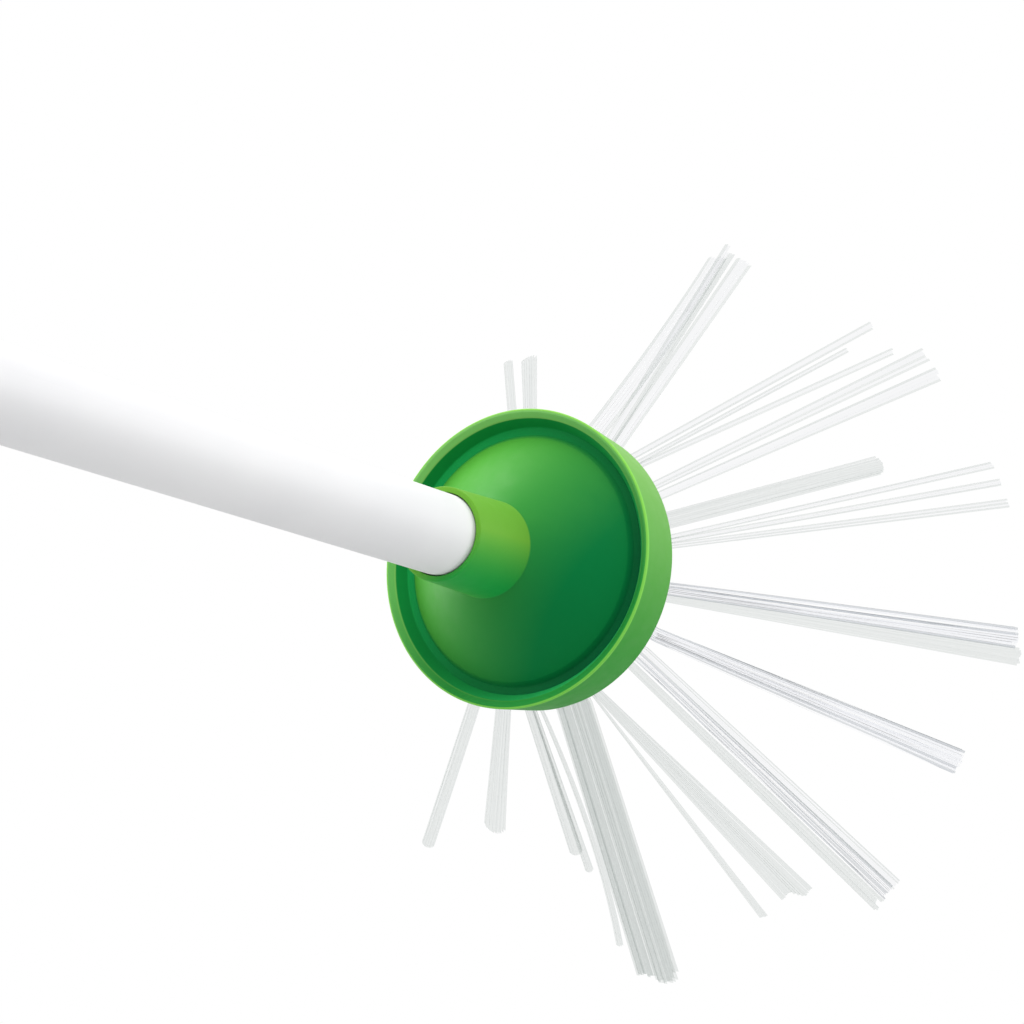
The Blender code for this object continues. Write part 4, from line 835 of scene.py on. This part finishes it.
# Each bundle of a tuft, as the photograph shows it: where it leaves the bell's edge and where it
# ends, in pixels; its length in millimetres; its width at both places in pixels; and its filaments.
# A bundle that the bell or the tube hides has no pixel at the edge.
BUNDLES = [Bundle(*row) for row in (
    (0, None, (418, 600), 108, 13, 26, 12),
    (0, None, (430, 585), 104, 10, 20, 10),
    (1, None, (454, 480), 110, 13, 26, 12),
    (1, None, (462, 468), 104, 10, 20, 10),
    (2, (530, 408), (529, 357), 108, 12, 14, 6, "milky", "round"),
    (2, (512, 410), (508, 361), 110, 9, 9, 5, "milky", "round"),
    (3, (601, 423), (718, 257), 115, 19, 12, 6, "pale", "ragged", -2.0),
    (4, (616, 431), (731, 248), 118, 10, 14, 5, "pale", "ragged"),
    (4, (624, 436), (744, 262), 114, 11, 16, 5, "pale", "ragged"),
    (5, (641, 452), (872, 325), 118, 7, 8, 4, "pale"),
    (5, (646, 458), (847, 350), 104, 5, 5, 3, "pale"),
    (5, (650, 461), (893, 351), 112, 6, 6, 3, "pale"),
    (6, (662, 482), (931, 352), 114, 9, 15, 6, "pale", "ragged"),
    (6, (668, 492), (938, 374), 112, 9, 15, 6, "pale", "ragged"),
    (7, (673, 519), (883, 465), 92, 17, 19, 9, "milky", "round"),
    (7, (675, 536), (993, 465), 114, 5, 7, 4, "pale"),
    (7, (676, 540), (1001, 482), 114, 5, 7, 4, "pale"),
    (7, (677, 545), (1008, 503), 116, 6, 9, 5, "pale"),
    (8, (671, 589), (1019, 638), 117, 13, 21, 16),
    (8, (671, 599), (1020, 657), 117, 8, 18, 8, "milky"),
    (9, (664, 638), (961, 763), 111, 14, 25, 20),
    (10, (637, 671), (879, 905), 118, 9, 14, 8, "milky", "ragged"),
    (10, (645, 663), (889, 893), 117, 10, 16, 10),
    (10, (651, 656), (897, 885), 117, 8, 11, 8, "pale"),
    (11, (607, 702), (797, 894), 108, 11, 31, 12, "milky", "wavy"),
    (11, (602, 707), (764, 917), 110, 3, 8, 4, "milky"),
    (12, (576, 712), (660, 982), 121, 34, 39, 28, "milky", "stepped"),
    (13, (541, 712), (620, 946), 124, 5, 6, 4, "milky", "round", 4.0),
    (13, (530, 712), (577, 855), 104, 11, 13, 10, "milky", "round"),
    (13, (536, 714), (590, 872), 110, 5, 8, 8, "milky", "round"),
    (14, (503, 716), (494, 832), 108, 15, 20, 12, "milky", "round"),
    (14, (472, 711), (427, 847), 116, 13, 13, 10, "milky", "round"),
    (15, None, (444, 664), 90, 13, 24, 22),
)]
SEED = 100
HIDDEN_EDGE = 32.0
HIDDEN_LEAN_SHARE = 0.8
MOST_SLANT = 1.2
# The ends of the bundles: places of a stepped end, size of a ragged end's teeth, waves, and the range in
# which each filament's length differs, all in millimetres
STEPS = (-4.6, -4.0, -2.4, 0.0, 0.9, 1.6, -1.2)
TEETH = 7
TOOTH_RANGE = (-2.6, 0.6)
TOOTH_FILAMENTS = 3
WAVE = 1.1
WAVES = 1.6
LONG_CORNER = 6.5
END_RANGE = {"ragged": (-0.4, 0.4), "stepped": (-0.3, 0.2), "wavy": (-0.15, 0.15), "cut": (-0.7, 0.3),
             "round": (-0.1, 0.1)}
# The way of a bundle from its socket to its tip, in millimetres and shares
SOCKET_MOUTH = 12.5
SOCKET_DEPTH = 3.5
SOCKET_WIDTH = 4.0
BEND_SHARE = 0.7
BEND_STEPS = 7
STRAIGHT_STEPS = 10
ROOT_DEPTH_SHARE = 0.8
TIP_DEPTH_SHARE = 1.3
WIDTH_POWER = 1.5
LIFT_SHARE = 1.5
LAYER_SPACE = 0.9
LAYER_SHIFT = 0.3
LAYER_SHORTER = (0.2, 1.6)
MOST_ACROSS = 0.47
WEAVE = 0.02
# Flat ribbons and clear threads: the count from which a bundle has two layers, how far a filament strays in
# mm and rolls in radians, its thickness in mm, its share left open at the side, and its section's powers
Strand = namedtuple("Strand", "layers_from stray roll thickness gap across_power up_power")
RIBBON = Strand(24, 0.04, 0.03, 0.14, 0.03, 0.12, 0.5)
THREAD = Strand(14, 0.25, 0.25, 0.34, 0.0, 0.5, 0.7)
FILAMENT_SIDES = 8
MOST_THICKNESS_SHARE = 0.8
# The share of first-layer filaments that get the darker edge look at random, as darker streaks
RANDOM_DARK_FILAMENT_SHARE = 0.18
STREAK_WIDTH = 0.06
STREAK_PLACES = 40


def sight(pixel, index):
    """The camera's place, and the direction from it through a pixel, in a tuft's own frame."""
    across, down = (value - IMAGE / 2 for value in pixel)
    onward = CAMERA_RIGHT * across / FOCAL_PIXELS - CAMERA_UP * down / FOCAL_PIXELS - CAMERA_BACK
    into = tuft_frame(index).inverted()
    return into @ CAMERA_PLACE, (into.to_3x3() @ onward).normalized()


def pixel_of(point, index):
    away = tuft_frame(index) @ point - CAMERA_PLACE
    return Vector((away.dot(CAMERA_RIGHT), -away.dot(CAMERA_UP))) * FOCAL_PIXELS / -away.dot(CAMERA_BACK)


def width_at(point, index, pixels):
    """The width in mm that looks as wide as this at the point, measured across the tuft."""
    along = (pixel_of(point, index) - pixel_of(Vector((0, 0, 0)), index)).normalized()
    side = Vector((-along.y, along.x))
    step = pixel_of(point + Vector((0, MM, 0)), index) - pixel_of(point, index)
    return pixels / abs(step.dot(side))


def lay_out(bundle):
    """Where the bundle starts its straight part and where it ends, as (along, across, width) in mm, and
    the angle that it is turned out of its tuft's middle plane."""
    start, onward = sight(bundle.tip, bundle.tuft)
    nearest = -start.dot(onward)
    half = sqrt(max(0.0, nearest ** 2 - start.length_squared + (bundle.length * MM) ** 2))
    tips = [start + onward * (nearest + side * half) for side in (-1, 1)]
    tip = min(tips, key=lambda point: abs(atan2(point.z, point.x)))
    rise = atan2(tip.z, tip.x)
    end = (hypot(tip.x, tip.z) / MM, tip.y / MM, width_at(tip, bundle.tuft, bundle.tip_width))
    if bundle.edge is None:
        share = HIDDEN_EDGE / end[0]
        edge = (HIDDEN_EDGE, end[1] * share * HIDDEN_LEAN_SHARE, end[2] / 2)
    else:
        start, onward = sight(bundle.edge, bundle.tuft)
        normal = Vector((-sin(rise), 0, cos(rise)))
        place = start - onward * start.dot(normal) / onward.dot(normal)
        edge = (hypot(place.x, place.z) / MM, place.y / MM,
                width_at(place, bundle.tuft, bundle.edge_width))
    back = (edge[0] - SOCKET_MOUTH) * (1 - BEND_SHARE) / (end[0] - edge[0])
    bend = tuple(a - (b - a) * back for a, b in zip(edge, end))
    return bend, end, rise, slant_at(tip, bundle.tuft)


def slant_at(tip, index):
    """How much longer a filament is for each mm further across, so that the end looks square."""
    onward = (pixel_of(tip, index) - pixel_of(tip * 0.99, index)) / (tip.length * 0.01)
    across = (pixel_of(tip + Vector((0, MM, 0)), index) - pixel_of(tip, index)) / MM
    return max(-MOST_SLANT, min(MOST_SLANT, -across.dot(onward) / onward.length_squared))


def filament_ring(bm, path, i, width, thickness, roll, strand):
    """The filament's section at one point of its path."""
    ahead = (path[min(i + 1, len(path) - 1)] - path[max(i - 1, 0)]).normalized()
    across = Vector((0, 1, 0))
    side = (across - ahead * across.dot(ahead)).normalized()
    up = ahead.cross(side)
    ring = []
    for k in range(FILAMENT_SIDES):
        angle = tau * (k + 0.5) / FILAMENT_SIDES
        x = copysign(abs(cos(angle)) ** strand.across_power, cos(angle)) * width / 2
        y = copysign(abs(sin(angle)) ** strand.up_power, sin(angle)) * thickness / 2
        out = side * (x * cos(roll) - y * sin(roll))
        out += up * (x * sin(roll) + y * cos(roll))
        ring.append(bm.verts.new(path[i] + out))
    return ring


def filament(bm, uv_layer, path, widths, roll, strand, offset, material):
    """A thin solid strip along the path, its section across the tuft, with closed ends."""
    rings = []
    for i, width in enumerate(widths):
        thickness = min(strand.thickness * MM, width * MOST_THICKNESS_SHARE)
        rings.append(filament_ring(bm, path, i, width, thickness, roll, strand))
    last = len(rings) - 1
    for i in range(last):
        for k in range(FILAMENT_SIDES):
            j = (k + 1) % FILAMENT_SIDES
            face = bm.faces.new((rings[i][k], rings[i][j], rings[i + 1][j], rings[i + 1][k]))
            face.material_index = material
            for loop, (u, v) in zip(face.loops, ((k, i), (k + 1, i), (k + 1, i + 1), (k, i + 1))):
                loop[uv_layer].uv = (offset + u / FILAMENT_SIDES * STREAK_WIDTH, v / last)
    for ring in (rings[0], rings[-1]):
        face = bm.faces.new(ring)
        face.material_index = material
        for loop in face.loops:
            loop[uv_layer].uv = (offset, 0.0 if ring is rings[0] else 1.0)


def end_change(bundle, width, u, column, teeth, rng):
    """How much longer in mm than its bundle a filament is, at u across it."""
    change = rng.uniform(*END_RANGE[bundle.end])
    if bundle.end == "ragged":
        return teeth[column // TOOTH_FILAMENTS % TEETH] + change
    if bundle.end == "stepped":
        return STEPS[round((u + 0.5) * (len(STEPS) - 1))] + change
    if bundle.end == "wavy":
        return WAVE * sin(tau * WAVES * u) + LONG_CORNER * u + change
    if bundle.end == "round":
        return -width / 2 * (1 - sqrt(max(0.0, 1 - (2 * u) ** 2))) + change
    return change


def filament_path(start, bend, tip, turn, sway, lift):
    """From the socket's mouth in a curve to the bundle's bend, and on to the tip."""
    near = (bend - start).length
    first_way, last_way = Vector((near, 0, 0)), (tip - bend).normalized() * near
    path = [curve_between(start, bend, first_way, last_way, k / BEND_STEPS) for k in range(BEND_STEPS)]
    for k in range(STRAIGHT_STEPS + 1):
        share = k / STRAIGHT_STEPS
        hump = 4 * share * (1 - share) * MM
        path.append(bend.lerp(tip, share) + turn @ Vector((0, sway, lift)) * hump)
    return path


def bundle_of_filaments(bm, uv_layer, bundle, shape, root_across, root_width, rng):
    """A fan of filaments from the socket's mouth, past the bell's edge, to the tip."""
    (bend_along, bend_across, bend_width), (tip_along, tip_across, tip_width), rise, slant = shape
    strand = THREAD if bundle.look == "clear" else RIBBON
    turn = Matrix.Rotation(-rise, 3, "Y")
    layers = 2 if bundle.filaments >= strand.layers_from else 1
    columns = ceil(bundle.filaments / layers)
    teeth = [rng.uniform(*TOOTH_RANGE) for _ in range(TEETH)]
    for number in range(bundle.filaments):
        layer, column = divmod(number, columns)
        here = columns if layer == 0 else bundle.filaments - columns
        u = (column + 0.5) / here - 0.5
        if layer:
            u += rng.uniform(-LAYER_SHIFT, LAYER_SHIFT) / here
            u = max(-MOST_ACROSS, min(MOST_ACROSS, u))
        depth = (layer - (layers - 1) / 2) * LAYER_SPACE + (WEAVE if column % 2 else -WEAVE)
        length = tip_along + slant * u * tip_width + end_change(bundle, tip_width, u, column, teeth, rng)
        if layer:
            length -= rng.uniform(*LAYER_SHORTER)
        root_place = (SOCKET_MOUTH - SOCKET_DEPTH, root_across + u * root_width, depth * ROOT_DEPTH_SHARE)
        start = Vector(root_place) * MM
        bend = turn @ Vector((bend_along, bend_across + u * bend_width, depth)) * MM
        tip = turn @ Vector((length, tip_across + u * tip_width, depth * TIP_DEPTH_SHARE)) * MM
        sway = bundle.bow + rng.uniform(-strand.stray, strand.stray)
        lift = rng.uniform(-strand.stray, strand.stray) * LIFT_SHARE
        path = filament_path(start, bend, tip, turn, sway, lift)
        room = MM / here * (1 - strand.gap)
        root, middle, end = (width * room for width in (root_width, bend_width, tip_width))
        widths = [root + (middle - root) * (k / BEND_STEPS) ** WIDTH_POWER for k in range(BEND_STEPS)]
        widths += [middle + (end - middle) * k / STRAIGHT_STEPS for k in range(STRAIGHT_STEPS + 1)]
        roll = rng.uniform(-strand.roll, strand.roll)
        # The outermost filaments get a darker look as painted edge shade, and a few others at random
        outer = not layer and (column in (0, here - 1) or rng.random() < RANDOM_DARK_FILAMENT_SHARE)
        material = LOOKS.index(EDGE_SHADE_LOOK[bundle.look] if outer else bundle.look)
        filament(bm, uv_layer, path, widths, roll, strand, rng.random() * STREAK_PLACES, material)


def bristle_mesh(index):
    """The filaments of one tuft, its bundles side by side in the holder's socket."""
    rng = random.Random(SEED + index)
    own = [(lay_out(bundle), bundle) for bundle in BUNDLES if bundle.tuft == index]
    own.sort(key=lambda pair: pair[0][0][1])
    total = sum(bundle.filaments for _, bundle in own)
    bm = bmesh.new()
    uv_layer = bm.loops.layers.uv.new("strand")
    across = -SOCKET_WIDTH / 2
    for shape, bundle in own:
        width = SOCKET_WIDTH * bundle.filaments / total
        bundle_of_filaments(bm, uv_layer, bundle, shape, across + width / 2, width, rng)
        across += width
    mesh = mesh_of(bm, "bristles")
    mesh.transform(tuft_frame(index))
    for look in LOOKS:
        mesh.materials.append(FILAMENTS[look])
    mesh.set_sharp_from_angle(angle=radians(50))
    for face in mesh.polygons:
        face.use_smooth = LOOKS[face.material_index] not in FLAT_LOOKS
    return mesh


def tufts():
    holder = holder_mesh()
    for index in range(TUFTS):
        number = f"{index + 1:02d}"
        body = "tuft_lever_" + number
        lever = placed("lever_" + number, holder, tuft_frame(index))
        finish(lever, body, DARK_GREEN, "holder_" + number)
        obj = link("bristles_" + number, bristle_mesh(index))
        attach(obj, body)
        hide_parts("tuft_" + number)


# Side view of the trigger's blade: shares of its depth forward and of its length down
BLADE_OUTLINE = (
    (0.26, 0.02), (0.34, 0.18), (0.34, 0.35), (0.16, 0.54), (-0.05, 0.72), (-0.17, 0.86),
    (-0.12, 0.95), (-0.33, 1.0), (-0.58, 0.985), (-0.67, 0.88), (-0.6, 0.72), (-0.42, 0.54),
    (-0.28, 0.35), (-0.28, 0.18), (-0.26, 0.02),
)


def trigger():
    place = PIVOT @ turned(HALF_SQUEEZE, "Y")
    outline = [(PIVOT_X + BLADE_DEPTH * x, -PIVOT_DROP - BLADE_LENGTH * z) for x, z in BLADE_OUTLINE]
    obj = plate("trigger_lever_moulding", smooth_outline(outline, 5), BLADE_HALF_WIDTH, BLADE_ROUNDING, 4)
    deep, wide, past = ARM_HALF_DEPTH, ARM_HALF_WIDTH, ARM_LENGTH + OVERRUN
    gap, slot, across = FORK_HALF_GAP, CROSS_PIN_RADIUS + GAP, ARM_HALF_WIDTH + OVERRUN
    hub, bore = TRIGGER_HUB_HALF_WIDTH, PIVOT_PIN_RADIUS + GAP
    reach = TRIGGER_BORE_REACH
    combine(obj, [
        tool(rod, (TRIGGER_HUB_RADIUS, -hub, hub, 64, PIVOT)),
        tool(block, ((-deep, -wide, 0), (deep, wide, ARM_LENGTH), place)),
    ], [
        tool(block, ((-2 * deep, -gap, FORK_ROOT), (2 * deep, gap, past), place)),
        tool(block, ((-slot, -across, SLOT_ROOT), (slot, across, past), place)),
        tool(rod, (bore, -reach, reach, 48, PIVOT)),
    ])
    finish(obj, "trigger_lever", WHITE_PLASTIC, "trigger")


# Side view of the handle, as shares of the barrel's and the grip's sizes
BARREL_CURVE = ((1.0, 0.71), (0.612, 0.783), (0.147, 0.897))
HEEL_CURVE = ((0.102, 1.0), (0.62, 0.97), (0.92, 0.62), (1.0, 0.0))
GRIP_CURVE = (
    (0.87, 0.115), (0.766, 0.246), (0.787, 0.452), (0.915, 0.672), (1.055, 0.869), (1.02, 0.96), (0.755, 1.0),
    (0.455, 0.977), (0.287, 0.896), (0.223, 0.754), (0.128, 0.557), (0.034, 0.377), (0.0, 0.262),
)
THROAT_CURVE = ((-0.115, 1.0), (0.127, 0.96), (0.418, 0.9), (0.709, 0.72), (1.0, 0.59))


def grip_point(back, down):
    return -GRIP_FRONT - GRIP_DEPTH * back, -GRIP_DROP * down


def handle_outline():
    points = [(BARREL_FRONT * a, BARREL_TOP * b) for a, b in BARREL_CURVE]
    points += [(-GRIP_FRONT - GRIP_DEPTH * a, BARREL_TOP * b) for a, b in HEEL_CURVE]
    points += [grip_point(a, b) for a, b in GRIP_CURVE]
    points += [(BARREL_FRONT * a, -BARREL_DEPTH * b) for a, b in THROAT_CURVE]
    return smooth_outline(points, 4)


def inset_outline(outline, distance):
    """The anticlockwise outline moved inwards."""
    inner = []
    for i, (x, z) in enumerate(outline):
        ax, az = outline[i - 1]
        bx, bz = outline[(i + 1) % len(outline)]
        length = hypot(bx - ax, bz - az)
        inner.append((x - distance * (bz - az) / length, z + distance * (bx - ax) / length))
    return inner


SCREWS = ((0.033, 0.0105), (0.033, -0.0105), grip_point(0.483, 0.478), grip_point(0.672, 0.838))
EYE = at(-GRIP_FRONT - GRIP_DEPTH * 0.62, BARREL_TOP * 0.347)


def handle_tools():
    """The (tool, operation) pairs that both shells share."""
    half, reach = HANDLE_HALF_WIDTH, CUT_REACH
    end, near = half - HANDLE_WALL / 2, PIVOT_BOSS_START
    shank, head = HANDLE_SCREW[0] + GAP, HANDLE_SCREW[1] + GAP
    pin_radius, pin_half = PIVOT_PIN_RADIUS + GAP, PIVOT_PIN_HALF_LENGTH + GAP
    places = [at(x, z) for x, z in SCREWS]
    nose_screw = at(BARREL_FRONT, 0)
    hollow = plate("hollow", inset_outline(handle_outline(), HANDLE_WALL), half - HANDLE_WALL)
    combine(hollow, cut=[tool(block, ((TUBE_WALL_FRONT, -reach, -GRIP_DROP),
                                      (NOSE_FRONT, reach, GRIP_DROP)))])
    nose = lathe("nose", [
        (NOSE_FRONT, 0), (NOSE_FRONT, NOSE_RADIUS, NOSE_ROUNDING), (NOSE_REAR, NOSE_RADIUS, 0),
        (NOSE_REAR, 0),
    ], 128)
    past = NOSE_FRONT + OVERRUN
    socket = lathe("socket", [
        (past, 0), (past, TUBE_SEAT_RADIUS, 0), (TUBE_SEAT_REAR, TUBE_SEAT_RADIUS, 0), (TUBE_SEAT_REAR, 0),
    ], 128, 0)
    bosses = tool(rod, *[(BOSS_RADIUS, -end, end, 40, place) for place in places],
                       (EYE_BOSS_RADIUS, -end, end, 48, EYE))
    pivot_bosses = tool(rod, (PIVOT_BOSS_RADIUS, near, end, 40, PIVOT),
                        (PIVOT_BOSS_RADIUS, -end, -near, 40, PIVOT))
    bores = tool(rod, (pin_radius, -pin_half, pin_half, 40, PIVOT), (EYE_RADIUS, -reach, reach, 64, EYE),
                      *[(shank, -reach, near, 32, place) for place in places])
    cuts = [
        bores, tool(rod, *[(head, -reach, SCREW_SEAT_DEPTH - half, 40, place) for place in places]),
        tool(rod, (shank, -reach, TUBE_SCREW_BORE_END, 32, nose_screw)),
        tool(rod, (head, -reach, SCREW_SEAT_DEPTH - NOSE_RADIUS, 40, nose_screw)),
        tool(block, ((DOOR_REAR, -DOOR_HALF_WIDTH, -PIVOT_DROP - DOOR_DEPTH),
                     (DOOR_FRONT, DOOR_HALF_WIDTH, -PIVOT_DROP))),
    ]
    return [(nose, "UNION"), (hollow, "DIFFERENCE"), (bosses, "UNION"), (pivot_bosses, "UNION"),
            (socket, "DIFFERENCE"), *((cut, "DIFFERENCE") for cut in cuts)]


def handle_shells():
    tools = handle_tools()
    for name, side, node in (("left_shell", 1, "left_handle"), ("right_shell", -1, "right_handle")):
        obj = plate(name, handle_outline(), HANDLE_HALF_WIDTH, HANDLE_ROUNDING, 6)
        low, high = sorted((side * GAP / 2, -side * CUT_REACH))
        combine(obj, cut=[tool(block, ((-FAR, low, -FAR), (FAR, high, FAR)))], tools=tools)
        finish(obj, ROOT, GREEN, node)
    drop(*[other for other, _ in tools])


def handle_screws():
    turn = turned(-TURN, "Z")
    seat = SCREW_SEAT_DEPTH - GAP
    mesh = screw_mesh(*HANDLE_SCREW)
    for number, (x, z) in enumerate(SCREWS, 1):
        spin = turned(GRIP_SCREW_SPIN * number, "X")
        place = at(x, z, seat - HANDLE_HALF_WIDTH) @ turn @ spin
        finish(placed(f"grip_screw_{number}", mesh, place), ROOT, STEEL, f"handle_screw_{number}")
    place = at(BARREL_FRONT, 0, seat - NOSE_RADIUS) @ turn
    finish(placed("nose_screw", screw_mesh(*TUBE_SCREW), place), ROOT, STEEL, "tube_screw")


def lamp(name, direction, distance, size, power):
    data = bpy.data.lights.new(name, "AREA")
    data.shape = "DISK"
    data.size = size
    data.energy = power
    obj = link(name, data)
    obj.visible_camera = False
    obj.visible_transmission = False
    obj.location = LAMP_TARGET + Vector(direction).normalized() * distance
    obj.rotation_euler = (LAMP_TARGET - obj.location).to_track_quat("-Z", "Y").to_euler()


# Each lamp's direction from the head, its distance and width in metres and its power in watts
LAMP_TARGET = Vector((0.43, 0, 0))
LAMPS = (
    ("above", (0.0, 0.50, 0.86), 1.3, 1.0, 8.7),
    ("left", (0.05, 0.97, 0.16), 1.2, 0.9, 7.5),
    ("fill", (-0.50, -0.50, 0.70), 1.6, 1.4, 13.2),
    ("side", (0.55, -0.80, 0.15), 1.4, 0.9, 7),
)
SKY_DIRECTION = (-0.10, 0.43, 0.90)
SKY_LOW, SKY_HIGH = 0.24, 0.85
FLOOR_SIZE = 4
FLOOR_PLACE = (0.2, 0, -0.2)


def sky():
    """White to the camera and through clear plastic, and a soft light from above to everything else."""
    world = bpy.data.worlds.new("studio")
    bpy.context.scene.world = world
    world.use_nodes = True
    tree = world.node_tree
    rays = tree.nodes.new("ShaderNodeLightPath").outputs
    seen = add(tree, "Math", {0: rays["Is Camera Ray"], 1: rays["Is Transmission Ray"]}, operation="MAXIMUM")
    place = tree.nodes.new("ShaderNodeTexCoord").outputs["Generated"]
    toward = add(tree, "VectorMath", {0: place, 1: SKY_DIRECTION}, operation="DOT_PRODUCT").outputs["Value"]
    light = spread(tree, toward, SKY_LOW, SKY_HIGH, (-1, 1))
    strength = add(tree, "Mix", {"Factor": seen.outputs["Value"], "A": light, "B": 1.0}).outputs["Result"]
    connect(tree, tree.nodes["Background"], {"Color": (1, 1, 1, 1), "Strength": strength})


def surroundings():
    sky()
    bm = bmesh.new()
    bmesh.ops.create_grid(bm, x_segments=1, y_segments=1, size=FLOOR_SIZE)
    floor = link("floor", mesh_of(bm, "floor"), Matrix.Translation(FLOOR_PLACE))
    floor.data.materials.append(surface("floor_paper", (0.5, 0.5, 0.5), (0.48, 0.48, 0.48), 0.8, drift=3))
    for row in LAMPS:
        lamp(*row)


def camera():
    data = bpy.data.cameras.new("camera")
    data.lens = LENS
    data.sensor_width = SENSOR
    data.sensor_fit = "HORIZONTAL"
    data.clip_start = 0.01
    columns = Matrix((CAMERA_RIGHT, CAMERA_UP, CAMERA_BACK)).transposed()
    place = Matrix.Translation(CAMERA_PLACE) @ columns.to_4x4()
    bpy.context.scene.camera = link("camera", data, place)


bpy.context.scene.view_settings.view_transform = "Standard"
for make in (camera, head_cup, hinge_ring, front_cover, head_screws, tube, rod_guides, plunger, push_rod,
             collar_and_pins, return_spring, tufts, trigger, handle_shells, handle_screws, surroundings):
    make()
